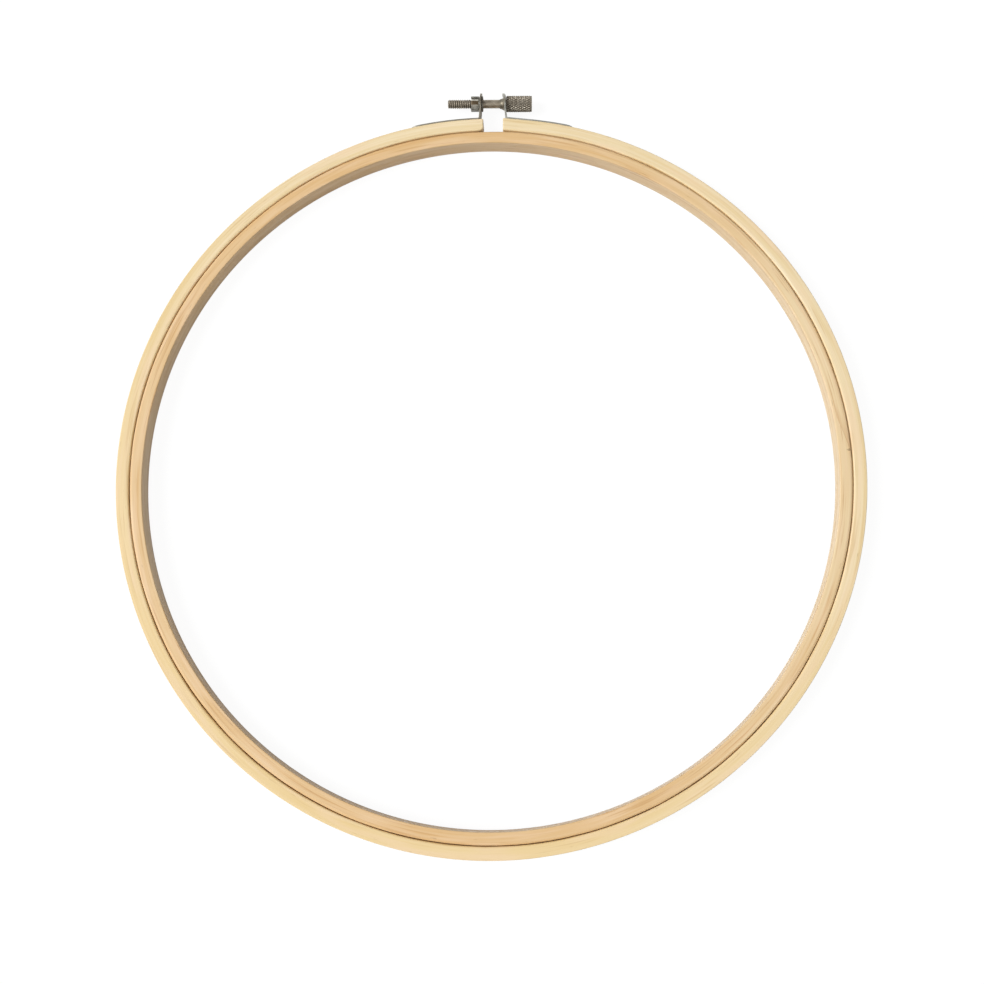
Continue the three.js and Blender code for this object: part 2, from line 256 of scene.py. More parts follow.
stage = {
    "ambient": 0.25,
    "horizon": 0.95,  # what metal and gloss see of the room, low down and overhead
    "overhead": 0.3,
    "overheadFrom": 0.7,  # upwards part of the way looked in
    "keyWatts": 1000.0,
    "keySize": 6.4,  # lamps in metres
    "keyFrom": (-7.1, -0.4, 7.7),
    "fillWatts": 72.0,
    "fillSize": 4.8,
    "fillFrom": (1.6, -3.2, 5.2),
    "floorColour": "#acaba7",
    "floorShade": 0.1,  # how much of the shadow the camera sees on white
    "floorGlow": 0.93,
    "mirroredShade": 0.85,  # the same for metal and gloss
    "mirroredGlow": 0.32,
    "floorHalf": 4000,
    "floorBelow": 0.1,
}


def addRoom():
    world = bpy.data.worlds.new("softRoom")
    scene.world = world
    world.use_nodes = True
    tree = world.node_tree
    way = add(tree, "ShaderNodeSeparateXYZ", {0: add(tree, "ShaderNodeTexCoord").outputs["Generated"]})
    room = add(tree, "ShaderNodeMapRange", {
        "Value": way.outputs["Z"], "From Min": 0.0, "From Max": stage["overheadFrom"],
        "To Min": stage["horizon"], "To Max": stage["overhead"]})
    path = add(tree, "ShaderNodeLightPath").outputs
    seen = add(tree, "ShaderNodeMath", {0: path["Is Glossy Ray"], 1: path["Is Transmission Ray"]},
               operation="MAXIMUM")
    room = add(tree, "ShaderNodeMix", {"Factor": seen, "A": stage["ambient"], "B": room})
    room = add(tree, "ShaderNodeMix", {"Factor": path["Is Camera Ray"], "A": room, "B": 1.0})
    dress(tree, tree.nodes["Background"], {"Color": (1, 1, 1, 1), "Strength": room})


def addFloor():
    # Painted board: matt and even; the camera and the metal see it as white, with a light shadow
    material, tree, surface = newMaterial("mattPaintedBoard")
    tree.nodes.remove(surface)
    matt = add(tree, "ShaderNodeBsdfDiffuse", {"Color": linear(stage["floorColour"])})
    path = add(tree, "ShaderNodeLightPath").outputs
    shade, glow = (add(tree, "ShaderNodeMix", {"Factor": path["Is Camera Ray"], "A": stage["mirrored" + part],
                                               "B": stage["floor" + part]}) for part in ("Shade", "Glow"))
    shade = add(tree, "ShaderNodeBsdfDiffuse", {"Color": shade})
    glow = add(tree, "ShaderNodeEmission", {"Strength": glow})
    white = add(tree, "ShaderNodeAddShader", {0: shade, 1: glow})
    seen = path["Is Camera Ray"]
    for other in ("Is Glossy Ray", "Is Transmission Ray"):
        seen = add(tree, "ShaderNodeMath", {0: seen, 1: path[other]}, operation="MAXIMUM")
    both = add(tree, "ShaderNodeMixShader", {0: seen, 1: matt, 2: white})
    plug(tree, both, tree.nodes["Material Output"].inputs["Surface"])
    half, below = stage["floorHalf"] * mm, stage["floorBelow"] * mm
    mesh = bpy.data.meshes.new("floor")
    mesh.from_pydata([(half * x, half * y, -below) for x, y in ((-1, -1), (1, -1), (1, 1), (-1, 1))], [],
                     [(0, 1, 2, 3)])
    mesh.materials.append(material)
    link("floor", mesh)


def addLamp(name):
    lamp = bpy.data.lights.new(name, "AREA")
    lamp.shape = "DISK"
    lamp.size = stage[name + "Size"]
    lamp.energy = stage[name + "Watts"]
    obj = link(name, lamp)
    obj.location = Vector(stage[name + "From"])
    obj.rotation_euler = (-obj.location).to_track_quat("-Z", "Y").to_euler()


addRoom()
addLamp("key")
addLamp("fill")
addFloor()
print("stage lit")


# Materials

bambooMarks = {  # fineness of each kind of mark, and the noise at which it begins and is full
    "fibre": (3.0, 0.32, 0.68),
    "band": (2.0, 0.3, 0.7),
    "blush": (1.0, 0.45, 0.7),
    "streak": (2.0, 0.57, 0.69),
    "fleck": (1.0, 0.73, 0.79),
}


def bambooMaterial(name, look):
    # Bamboo, planed, bent and sanded, unfinished: pale straw colour with soft lengthwise bands of peach and
    # yellow, fine fibres, a few short brown flecks where vessels are cut, and a dry satin surface.
    # The strip's own coordinates are used: along it, out from the hoops' middle, and up.
    material, tree, surface = newMaterial(name)
    place = add(tree, "ShaderNodeAttribute", attribute_name="strip").outputs["Vector"]
    parts = add(tree, "ShaderNodeSeparateXYZ", {0: place}).outputs

    # The ends of a closed hoop are glued on a slant, where the grain of one end meets the other's
    slant = add(tree, "ShaderNodeMath", {0: parts["Y"], 1: look["scarfSlope"]}, operation="MULTIPLY")
    last = add(tree, "ShaderNodeMath", {0: slant, 1: look["length"] * mm}, operation="ADD")
    along = add(tree, "ShaderNodeMath", {0: parts["X"], 1: last, 2: slant}, operation="WRAP")
    grain = add(tree, "ShaderNodeCombineXYZ", {0: along, 1: parts["Y"], 2: parts["Z"]})

    # Marks of each kind: noise drawn out along the fibres. Real fibres are finer than 0.45 mm: drawn coarser
    marks = {}
    for kind, (detail, begin, full) in bambooMarks.items():
        long, wide = (1 / (v * mm) for v in look[kind + "Size"])
        drawn = add(tree, "ShaderNodeVectorMath", {0: grain, 1: (long, wide, wide)}, operation="MULTIPLY")
        noise = add(tree, "ShaderNodeTexNoise", {"Vector": drawn, "Scale": 1.0, "Detail": detail,
                                                 "Roughness": look["raggedness"]})
        marks[kind] = add(tree, "ShaderNodeMapRange", {"Value": noise, "From Min": begin, "From Max": full})
    tone = add(tree, "ShaderNodeMix", {"Factor": look["bandShare"], "A": marks["fibre"], "B": marks["band"]})
    colour = add(tree, "ShaderNodeMix", {"Factor": tone, "A": linear(look["deep"]),
                                         "B": linear(look["pale"])}, data_type="RGBA")

    # The cane's colour changes slowly along the strip
    turn = add(tree, "ShaderNodeMath", {0: parts["X"], 1: 2 * math.pi / (look["length"] * mm),
                                        2: look["paleAt"]}, operation="MULTIPLY_ADD")
    once, twice = (chain(tree, "ShaderNodeMath", turn, ("MULTIPLY", n), ("COSINE",)) for n in (1.0, 2.0))
    slow = add(tree, "ShaderNodeMix", {"Factor": look["oneSided"], "A": twice, "B": once})
    marks["warm"] = add(tree, "ShaderNodeMapRange", {"Value": slow, "From Min": look["slowSwing"],
                                                     "From Max": -look["slowSwing"]})
    for kind in ("warm", "blush", "streak", "fleck"):
        colour = tinted(tree, colour, marks[kind], look[kind + "Share"], look[kind])
    if look["scarfSlope"]:
        colour = gluedJoint(tree, look, colour, parts, along, slant)

    # The faces are sanded matt, the sides keep the smoother skin of the bent cane
    facing = add(tree, "ShaderNodeSeparateXYZ", {0: add(tree, "ShaderNodeNewGeometry").outputs["Normal"]})
    side = add(tree, "ShaderNodeMath", {0: facing.outputs["Z"]}, operation="ABSOLUTE")
    begin, full = look["sides"]
    side = add(tree, "ShaderNodeMapRange", {"Value": side, "From Min": begin, "From Max": full})
    rough = add(tree, "ShaderNodeMapRange", {"Value": tone, "To Min": look["roughest"],
                                             "To Max": look["smoothest"]})
    rough = add(tree, "ShaderNodeMath", {0: side, 1: -look["polish"], 2: rough}, operation="MULTIPLY_ADD")
    relief = add(tree, "ShaderNodeMath", {0: marks["fleck"], 1: -look["fleckDepth"], 2: marks["fibre"]},
                 operation="MULTIPLY_ADD")
    bump = add(tree, "ShaderNodeBump", {"Height": relief, "Strength": look["bump"],
                                        "Distance": look["relief"] * mm})
    dress(tree, surface, {"Base Color": colour, "Roughness": rough, "Normal": bump, "IOR": 1.5})
    return material


def gluedJoint(tree, look, colour, parts, along, slant):
    # Glue and sanding dust darken the joint, most of all at the seam with the other hoop
    after = add(tree, "ShaderNodeMath", {0: along, 1: slant}, operation="SUBTRACT")
    before = add(tree, "ShaderNodeMath", {0: look["length"] * mm, 1: after}, operation="SUBTRACT")
    nearest = add(tree, "ShaderNodeMath", {0: before, 1: after}, operation="MINIMUM")
    inner, outer = (v * mm for v in look["darkens"])
    outwards = add(tree, "ShaderNodeMapRange", {"Value": parts["Y"], "From Min": inner, "From Max": outer})
    for kind, far, code in (("stain", before, look["streak"]), ("glue", nearest, look["fleck"])):
        begin, end = (v * mm for v in look[kind + "Reach"])
        near = add(tree, "ShaderNodeMapRange", {"Value": far, "From Min": end, "From Max": begin})
        near = add(tree, "ShaderNodeMath", {0: near, 1: outwards}, operation="MULTIPLY")
        colour = tinted(tree, colour, near, look[kind + "Share"], code)

    # Its thin end is chipped beside the seam: an oval whose outline a fine noise makes ragged
    spot = add(tree, "ShaderNodeCombineXYZ", {0: parts["X"], 1: parts["Y"]})
    ragged = add(tree, "ShaderNodeTexNoise", {"Vector": spot, "Scale": 1 / (look["chipGrain"] * mm),
                                              "Detail": 1.0})
    spot = chain(tree, "ShaderNodeVectorMath", spot, ("SUBTRACT", [v * mm for v in look["chipAt"]] + [0]),
                 ("MULTIPLY", [1 / (v * mm) for v in look["chipSize"]] + [0]), ("LENGTH",)).outputs["Value"]
    spot = add(tree, "ShaderNodeMath", {0: ragged, 1: look["chipRagged"], 2: spot}, operation="MULTIPLY_ADD")
    full, end = look["chipEdge"]
    spot = add(tree, "ShaderNodeMapRange", {"Value": spot, "From Min": end, "From Max": full})
    return tinted(tree, colour, spot, look["chipShare"], look["fleck"])


metalMarks = {
    "cloud": (0.35, 0.65),  # the noise at which the lighter tone begins and is full
    "wornEdgeSheen": (0.98, 0.8),  # the same for worn edges with a painted highlight, of how nearly a rounded edge faces the way its face does
    "grooveShadeFull": 0.95,
    "rubTurn": (0.5, 0.3, 0.8),  # direction of the rub marks, in radians
    "rubDrawn": (1, 9, 9),  # how much finer they are across than along
    "ringDrawn": (1, 0.06, 0.06),  # the rings go round X
}


def metalBase(name, look, detail):  # a metal's material, its coordinates, and two tones that a cloud mixes
    material, tree, surface = newMaterial(name)
    place = add(tree, "ShaderNodeTexCoord").outputs["Object"]
    cloud = add(tree, "ShaderNodeTexNoise", {"Vector": place, "Scale": 1 / (look["cloud"] * mm),
                                             "Detail": detail})
    begin, full = metalMarks["cloud"]
    part = add(tree, "ShaderNodeMapRange", {"Value": cloud, "From Min": begin, "From Max": full})
    colour = add(tree, "ShaderNodeMix", {"Factor": part, "A": linear(look["dark"]),
                                         "B": linear(look["light"])}, data_type="RGBA")
    return material, tree, surface, place, cloud, colour


def finishMetal(tree, surface, look, colour, fine, other, dulls):
    # The gloss follows the fine marks and what else dulls it, and edges that stand out are painted lighter:
    # wear with a painted highlight
    spread = look["glossSpread"]
    rough = look["roughness"] - spread / 2
    for marks, amount in ((fine, spread), (other, dulls)):
        rough = add(tree, "ShaderNodeMath", {0: marks, 1: amount, 2: rough}, operation="MULTIPLY_ADD")
    bump = add(tree, "ShaderNodeBump", {"Height": fine, "Strength": look["bump"],
                                        "Distance": look["relief"] * mm})
    soft = add(tree, "ShaderNodeBevel", {"Radius": look["edge"] * mm}, samples=4)
    facing = add(tree, "ShaderNodeNewGeometry").outputs["Normal"]
    same = add(tree, "ShaderNodeVectorMath", {0: soft, 1: facing}, operation="DOT_PRODUCT").outputs["Value"]
    begin, full = metalMarks["wornEdgeSheen"]
    wornEdgeSheen = add(tree, "ShaderNodeMapRange", {"Value": same, "From Min": begin, "From Max": full})
    colour = tinted(tree, colour, wornEdgeSheen, look["wearAndSheen"], look["bright"])
    dress(tree, surface, {"Base Color": colour, "Roughness": rough, "Normal": bump,
                          "Metallic": look["metallic"]})


def sheetMaterial(name, look):
    # Steel sheet, nickel plated and tumbled: neutral grey, satin, with a fine grain, faint rub marks and a
    # slightly uneven plating tint. Round the screw's axis it is painted darker and browner: painted shade.
    # The grain and the rub marks are drawn coarser than real ones, which the render can't show.
    material, tree, surface, place, cloud, colour = metalBase(name, look, 2.0)
    drawn = add(tree, "ShaderNodeMapping", {"Vector": place, "Rotation": metalMarks["rubTurn"],
                                            "Scale": metalMarks["rubDrawn"]})
    grain, marks = (add(tree, "ShaderNodeTexNoise", {"Vector": where, "Scale": 1 / (look[kind] * mm),
                                                     "Detail": detail})
                    for where, kind, detail in ((place, "grain", 3.0), (drawn, "mark", 2.0)))
    if look["screwShadeShare"]:
        # Painted shade: darker and browner towards the screw's axis, with a ragged edge from the cloud
        centre = (look["screwShadeAt"] * mm, screwAxis.y * mm, screwAxis.z * mm)
        far = chain(tree, "ShaderNodeVectorMath", place, ("SUBTRACT", centre),
                    ("MULTIPLY", look["screwShadeSquash"]), ("LENGTH",)).outputs["Value"]
        far = add(tree, "ShaderNodeMath", {0: cloud, 1: look["screwShadeRagged"] * mm, 2: far},
                  operation="MULTIPLY_ADD")
        full, end = look["screwShadeReach"] * mm, (look["screwShadeReach"] + look["screwShadeFade"]) * mm
        screwShade = add(tree, "ShaderNodeMapRange", {"Value": far, "From Min": end, "From Max": full})
        colour = tinted(tree, colour, screwShade, look["screwShadeShare"], look["screwShade"])
    finishMetal(tree, surface, look, colour, grain, marks, look["markRough"])
    return material


def turnedMaterial(name, look):
    # Steel, turned, rolled and knurled, lightly oiled and dulled by handling: warm grey with rings from the
    # tool across the axis. The thread's and the knurl's grooves are painted darker the deeper they lie:
    # painted shade.
    # The rings are drawn coarser than a lathe's feed, which the render can't show.
    material, tree, surface, place, _, colour = metalBase(name, look, 3.0)
    rings = add(tree, "ShaderNodeMapping", {"Vector": place, "Scale": metalMarks["ringDrawn"]})
    rings = add(tree, "ShaderNodeTexNoise", {"Vector": rings, "Scale": 1 / (look["ring"] * mm),
                                             "Detail": 2.0})
    # Painted shade: darker and rougher the deeper a point lies in a groove
    groove = add(tree, "ShaderNodeAttribute", attribute_name="groove").outputs["Fac"]
    grooveShadeMask = add(tree, "ShaderNodeMapRange", {"Value": groove, "From Min": look["grooveShadeFrom"],
                                            "From Max": metalMarks["grooveShadeFull"]})
    colour = tinted(tree, colour, grooveShadeMask, look["grooveShadeShare"], look["grooveShade"])
    finishMetal(tree, surface, look, colour, rings, grooveShadeMask, look["grooveRough"] * look["grooveShadeShare"])
    return material


bambooLook = {
    "fibreSize": (45, 0.45), "bandShare": 0.6, "warmShare": 0.65, "slowSwing": 0.8, "fleckSize": (4.5, 0.4),
    "fleckDepth": 0.8, "roughest": 0.6, "bump": 0.6, "relief": 0.02, "raggedness": 0.55,
    "sides": (0.7, 0.3),  # how far a face looks up where a side begins, and where it is all side
}
sheetLook = {
    "edge": 0.15, "screwShadeShare": 0.8, "screwShadeAt": 0.0, "screwShadeSquash": (0, 1, 0.5), "screwShadeRagged": 1.2,
    "screwShadeFade": 0.9, "glossSpread": 0.16, "markRough": 0.1, "bump": 0.4, "relief": 0.004,
}
turnedLook = {"edge": 0.15, "wearAndSheen": 0.4, "glossSpread": 0.2, "grooveRough": 0.3, "bump": 0.5, "relief": 0.006}


# Bamboo hoops: a straight bar of the strip's section, bent round by a node tree

hoops = {
    "inside": 254.0,  # inside diameter of the outer hoop
    "height": 8.5,
    "outerWall": 4.6,
    "innerWall": 4.4,
    "room": 0.3,  # between the hoops
    "outerRounding": 0.5,
    "seamRounding": 0.3,
    "openingRounding": 0.9,
    "splitLeft": 3.3,  # end faces, from the middle of the clamp
    "splitRight": 3.95,
    "straightLeft": 4.0,
    "straightRight": 9.5,
    "endRounding": 0.3,
    "easeAlong": 3.0,  # the left end's inner corner is rubbed down
    "easeAcross": 1.1,
    "scarfAt": -82.8,  # degrees from the clamp to the inner hoop's glued joint, less than 0 to the right
    "scarfLength": 18.0,
    "uneven": 0.14,  # how much the strips' thickness varies at the seam
    "fuller": 0.55,  # share of that by which the thickest places stand out
    "ripple": 7.0,  # fineness of that round the hoop
    "sanded": 0.04,  # off the outside of the outer hoop
    "steps": 721,
    "crowded": 0.9,  # how far the steps are drawn together at the split
    "cuts": 3,  # on each side of the section
    "roundingSteps": 5,
    "sharp": 40,
}

outerInside = hoops["inside"] / 2
outerOutside = outerInside + hoops["outerWall"]
outerRadius = outerInside + hoops["outerWall"] / 2
innerRadius = outerInside - hoops["room"] - hoops["innerWall"] / 2


def leaveAngle(side):  # where the outer hoop leaves its circle, from the clamp's middle, in radians
    straight, end = (ofSide(hoops, name, side) for name in ("straight", "split"))
    return math.asin(end / math.hypot(outerRadius, straight)) + math.atan2(straight, outerRadius)


def straightRun(side, radius, end):
    leave = leaveAngle(side)
    return (radius * math.sin(leave) - end) / math.cos(leave)


def stripTree():
    tree, size, output = newTree("bentStrip", {"Middle": "Vector", **dict.fromkeys((
        "Radius", "From", "Sweep", "Wall", "Height", "Rounding", "Opening Rounding", "Leave First",
        "Leave Last", "End First", "End Last", "Straight First", "Straight Last", "End Rounding",
        "Ease Along", "Ease Across", "Crowd At Ends", "Uneven", "Fuller", "Ripple", "Seam Side", "Seed"),
        "Float"), "Steps": "Int", "Closed": "Bool", "Material": "Material"})

    # The bar: X runs 0 to 1 along it, Y is across, outwards, and Z is up
    rail = add(tree, "GeometryNodeCurvePrimitiveLine", {"End": (1, 0, 0)})
    rail = add(tree, "GeometryNodeResampleCurve", {"Curve": rail, "Count": size["Steps"]})
    rail = add(tree, "GeometryNodeSetCurveNormal", {"Curve": rail}, mode="Z_UP")
    section = add(tree, "GeometryNodeCurvePrimitiveQuadrilateral", {"Width": size["Wall"],
                                                                    "Height": size["Height"]})
    section = add(tree, "GeometryNodeSubdivideCurve", {"Curve": section, "Cuts": hoops["cuts"]})
    corner = chain(tree, "ShaderNodeMath", add(tree, "GeometryNodeInputIndex"),
                   ("MODULO", hoops["cuts"] + 1.0), ("LESS_THAN", 0.5))
    here = add(tree, "ShaderNodeSeparateXYZ", {0: add(tree, "GeometryNodeInputPosition")}).outputs
    opening = add(tree, "ShaderNodeMath", {0: here["X"], 1: 0.0}, operation="GREATER_THAN")
    rounding = add(tree, "ShaderNodeMix", {"Factor": opening, "A": size["Opening Rounding"],
                                           "B": size["Rounding"]})
    rounding = add(tree, "ShaderNodeMath", {0: rounding, 1: corner}, operation="MULTIPLY")
    section = add(tree, "GeometryNodeFilletCurve", {"Curve": section, "Count": hoops["roundingSteps"],
                                                    "Radius": rounding}, mode="POLY")
    closed = add(tree, "FunctionNodeBooleanMath", {0: size["Closed"]}, operation="NOT")
    bar = add(tree, "GeometryNodeCurveToMesh", {"Curve": rail, "Profile Curve": section, "Fill Caps": closed})

    # Lengths along the middle of the strip
    arc = add(tree, "ShaderNodeMath", {0: size["Radius"], 1: size["Sweep"]}, operation="MULTIPLY")
    total = arc
    for straight in ("Straight First", "Straight Last"):
        total = add(tree, "ShaderNodeMath", {0: total, 1: size[straight]}, operation="ADD")
    bars = add(tree, "ShaderNodeSeparateXYZ", {0: add(tree, "GeometryNodeInputPosition")}).outputs
    along = chain(tree, "ShaderNodeMath", bars["X"], ("MULTIPLY", 2 * math.pi), ("SINE",),
                  ("MULTIPLY", -0.5 / math.pi), ("MULTIPLY_ADD", size["Crowd At Ends"], bars["X"]),
                  ("MULTIPLY", total))
    grain = add(tree, "ShaderNodeCombineXYZ", {0: along, 1: bars["Y"], 2: bars["Z"]})
    bar = add(tree, "GeometryNodeStoreNamedAttribute", {"Geometry": bar, "Name": "strip", "Value": grain},
              data_type="FLOAT_VECTOR", domain="CORNER")
    past = add(tree, "ShaderNodeMath", {0: along, 1: size["Straight First"]}, operation="SUBTRACT")
    onArc = add(tree, "ShaderNodeClamp", {"Value": past, "Min": 0.0, "Max": arc})
    over = add(tree, "ShaderNodeMath", {0: past, 1: onArc}, operation="SUBTRACT")
    turned = add(tree, "ShaderNodeMath", {0: onArc, 1: size["Radius"]}, operation="DIVIDE")
    angle = add(tree, "ShaderNodeMath", {0: size["From"], 1: turned}, operation="SUBTRACT")
    cos, sin = (add(tree, "ShaderNodeMath", {0: angle}, operation=name) for name in ("COSINE", "SINE"))

    # The side at the seam is a little uneven
    rim = add(tree, "ShaderNodeCombineXYZ", {0: cos, 1: sin, 2: size["Seed"]})
    noise = add(tree, "ShaderNodeTexNoise", {"Vector": rim, "Scale": size["Ripple"], "Detail": 3.0})
    thinner = add(tree, "ShaderNodeMapRange", {"Value": noise, "From Min": 0.3, "From Max": 0.7})
    share = chain(tree, "ShaderNodeMath", bars["Y"], ("DIVIDE", size["Wall"]),
                  ("MULTIPLY_ADD", size["Seam Side"], 0.5))
    cut = chain(tree, "ShaderNodeMath", thinner, ("SUBTRACT", size["Fuller"]), ("MULTIPLY", share),
                ("MULTIPLY", size["Uneven"]), ("MULTIPLY", size["Seam Side"]))
    across = add(tree, "ShaderNodeMath", {0: bars["Y"], 1: cut}, operation="SUBTRACT")

    # Rounded ends: near them the section is drawn in along a quarter circle
    toLast = add(tree, "ShaderNodeMath", {0: total, 1: along}, operation="SUBTRACT")
    near = chain(tree, "ShaderNodeMath", toLast, ("MINIMUM", along),
                 ("MULTIPLY_ADD", -1.0, size["End Rounding"]))
    near = add(tree, "ShaderNodeClamp", {"Value": near, "Min": 0.0, "Max": size["End Rounding"]})
    square, fall = (add(tree, "ShaderNodeMath", {0: side, 1: side}, operation="MULTIPLY")
                    for side in (size["End Rounding"], near))
    inset = chain(tree, "ShaderNodeMath", square, ("SUBTRACT", fall), ("MAXIMUM", 0.0), ("SQRT",),
                  ("MULTIPLY_ADD", -1.0, size["End Rounding"]), ("MULTIPLY", 2.0))
    across, up = (chain(tree, "ShaderNodeMath", inset, ("DIVIDE", extent), ("MULTIPLY_ADD", -1.0, 1.0),
                        ("MULTIPLY", place))
                  for place, extent in ((across, size["Wall"]), (bars["Z"], size["Height"])))

    # The last end's inner corner is rubbed down along a curve
    spare = add(tree, "ShaderNodeMath", {0: size["Ease Along"], 1: 1e-9}, operation="MAXIMUM")
    lift = chain(tree, "ShaderNodeMath", toLast, ("DIVIDE", spare), ("MAXIMUM", 0.0), ("SQRT",),
                 ("MINIMUM", 1.0), ("MULTIPLY_ADD", -1.0, 1.0), ("POWER", 2.0),
                 ("MULTIPLY", size["Ease Across"]))
    radius = chain(tree, "ShaderNodeMath", across, ("DIVIDE", size["Wall"]), ("MULTIPLY_ADD", -1.0, 0.5),
                   ("MULTIPLY_ADD", lift, across), ("ADD", size["Radius"]))

    # The end faces stand square to the clamp, so the straight runs are longer or shorter across the strip
    longer = []
    for end in ("First", "Last"):
        run = add(tree, "ShaderNodeMath", {0: size["Leave " + end]}, operation="COSINE")
        spare = add(tree, "ShaderNodeMath", {0: size["Straight " + end], 1: 1e-9}, operation="MAXIMUM")
        longer.append(chain(tree, "ShaderNodeMath", size["Leave " + end], ("SINE",), ("MULTIPLY", radius),
                            ("SUBTRACT", size["End " + end]), ("DIVIDE", run), ("DIVIDE", spare)))
    first = add(tree, "ShaderNodeMath", {0: over, 1: 0.0}, operation="LESS_THAN")
    stretch = add(tree, "ShaderNodeMix", {"Factor": first, "A": longer[1], "B": longer[0]})
    over = add(tree, "ShaderNodeMath", {0: over, 1: stretch}, operation="MULTIPLY")

    x, y, back = (add(tree, "ShaderNodeMath", {0: length, 1: way}, operation="MULTIPLY")
                  for length, way in ((radius, cos), (radius, sin), (over, cos)))
    x = add(tree, "ShaderNodeMath", {0: over, 1: sin, 2: x}, operation="MULTIPLY_ADD")
    y = add(tree, "ShaderNodeMath", {0: y, 1: back}, operation="SUBTRACT")
    bent = add(tree, "ShaderNodeCombineXYZ", {0: x, 1: y, 2: up})
    bent = add(tree, "ShaderNodeVectorMath", {0: bent, 1: size["Middle"]}, operation="ADD")
    made = add(tree, "GeometryNodeSetPosition", {"Geometry": bar, "Position": bent})
    made = add(tree, "GeometryNodeMergeByDistance", {"Geometry": made, "Distance": 1e-6})
    return endTree(tree, size, made, output)


def bendHoop(name, values):  # what both hoops have in common, and this hoop's own values
    return grow(link(name, bpy.data.meshes.new(name)), bentStrip, {
        "Middle": tuple(ringMiddle * mm), "Height": hoops["height"] * mm, "Steps": hoops["steps"],
        "Uneven": hoops["uneven"] * mm, "Fuller": hoops["fuller"], "Ripple": hoops["ripple"], **values},
        sharp=hoops["sharp"])


outerBamboo = bambooMaterial("sandedBambooPale", {
    **bambooLook, "pale": "#faeaca", "deep": "#e6cb93", "blush": "#f4d7b2", "warm": "#ebcb8c",
    "streak": "#d8b77f", "fleck": "#a98a58", "bandSize": (70, 2.4), "blushSize": (22, 2.6),
    "blushShare": 0.55, "streakSize": (26, 0.9), "streakShare": 0.5, "fleckShare": 0.35, "smoothest": 0.48,
    "polish": 0.14, "oneSided": 1.0, "paleAt": -0.63, "scarfSlope": 0.0, "length": 2 * math.pi * outerRadius,
})
innerBamboo = bambooMaterial("sandedBambooWarm", {
    **bambooLook, "pale": "#f4e0b8", "deep": "#dfbb86", "blush": "#f2d3ad", "warm": "#dcaa68",
    "streak": "#c99a62", "fleck": "#8c6a42", "bandSize": (60, 2.0), "blushSize": (20, 2.2), "blushShare": 0.5,
    "streakSize": (28, 0.8), "streakShare": 0.55, "fleckShare": 0.4, "smoothest": 0.46, "polish": 0.16,
    "oneSided": 0.5, "paleAt": 0.0, "scarfSlope": hoops["scarfLength"] / hoops["innerWall"],
    "length": 2 * math.pi * innerRadius, "glueReach": (0.05, 0.5), "glueShare": 0.3, "stainReach": (0.0, 9.0),
    "stainShare": 0.5, "darkens": (-1.2, 0.4), "chipAt": (7.1, 1.35), "chipSize": (0.4, 0.65),
    "chipGrain": 0.6, "chipRagged": 2.4, "chipEdge": (1.8, 2.4), "chipShare": 0.6,
})
bentStrip = stripTree()
outerHoop = bendHoop("outerHoop", {
    "Radius": (outerRadius - hoops["sanded"] / 2) * mm, "Wall": (hoops["outerWall"] - hoops["sanded"]) * mm,
    "From": math.pi / 2 - leaveAngle(1), "Sweep": 2 * math.pi - leaveAngle(1) - leaveAngle(-1),
    "Rounding": hoops["outerRounding"] * mm, "Opening Rounding": hoops["seamRounding"] * mm,
    "Leave First": leaveAngle(1), "Leave Last": leaveAngle(-1),
    "End First": hoops["splitRight"] * mm, "End Last": hoops["splitLeft"] * mm,
    "Straight First": straightRun(1, outerRadius, hoops["splitRight"]) * mm,
    "Straight Last": straightRun(-1, outerRadius, hoops["splitLeft"]) * mm,
    "End Rounding": hoops["endRounding"] * mm, "Ease Along": hoops["easeAlong"] * mm,
    "Ease Across": hoops["easeAcross"] * mm, "Crowd At Ends": hoops["crowded"], "Closed": False,
    "Seam Side": -1.0, "Seed": 3.0, "Material": outerBamboo})
innerHoop = bendHoop("innerHoop", {  # a closed ring: what it leaves out is 0
    "Radius": innerRadius * mm, "Wall": hoops["innerWall"] * mm,
    "From": math.radians(90 + hoops["scarfAt"]), "Sweep": 2 * math.pi,
    "Rounding": hoops["seamRounding"] * mm, "Opening Rounding": hoops["openingRounding"] * mm, "Closed": True,
    "Seam Side": 1.0, "Seed": 8.0, "Material": innerBamboo})
finishPiece(outerHoop, "outer_frame", "outer_bamboo", "outer_hoop")
finishPiece(innerHoop, "inner_ring", "inner_bamboo", "inner_hoop")


# Brackets: rolled sheet, mapped on to the bends of its route

brackets = {
    "sheet": 0.5,
    "width": 7.7,
    "stripLeft": 25.0,
    "stripRight": 24.4,
    "tailShape": 3.2,  # 2 is a half circle, more is squarer
    "bendInside": 0.35,
    "earLeft": 4.15,  # the ears' faces at the split, from the middle of the clamp
    "earRight": 4.4,
    "seatGap": 0.08,  # between pieces that lie on each other
    "leanLeft": 4.8,
    "leanRight": 8.0,
    "leanEnd": 2.6,  # below the screw's axis
    "curlFromLeft": 2.2,  # above it
    "curlFromRight": 1.0,
    "curlRadius": 4.0,
    "curlLeft": 8.0,
    "curlRight": 26.0,
    "rivet": 4.2,
    "collar": 1.8,
    "collarMouth": 3.5,
    "collarFoot": 5.2,
    "funnel": 0.45,  # rounding of the bore's mouth on the head's side
    "bore": 3.2,
    "edge": 0.07,  # rounding left by tumbling
    "step": 0.02,  # along the route
    "columns": 16,
    "tailRows": 10,
    "stripRows": 40,
    "bendRows": 12,
    "footRows": 8,
    "ringShares": (0, 0.12, 0.3, 0.5, 0.7, 0.88, 1.0),  # rings on the ear, from the hole to the outline
}
stripMiddle = outerOutside + brackets["seatGap"] + brackets["sheet"] / 2


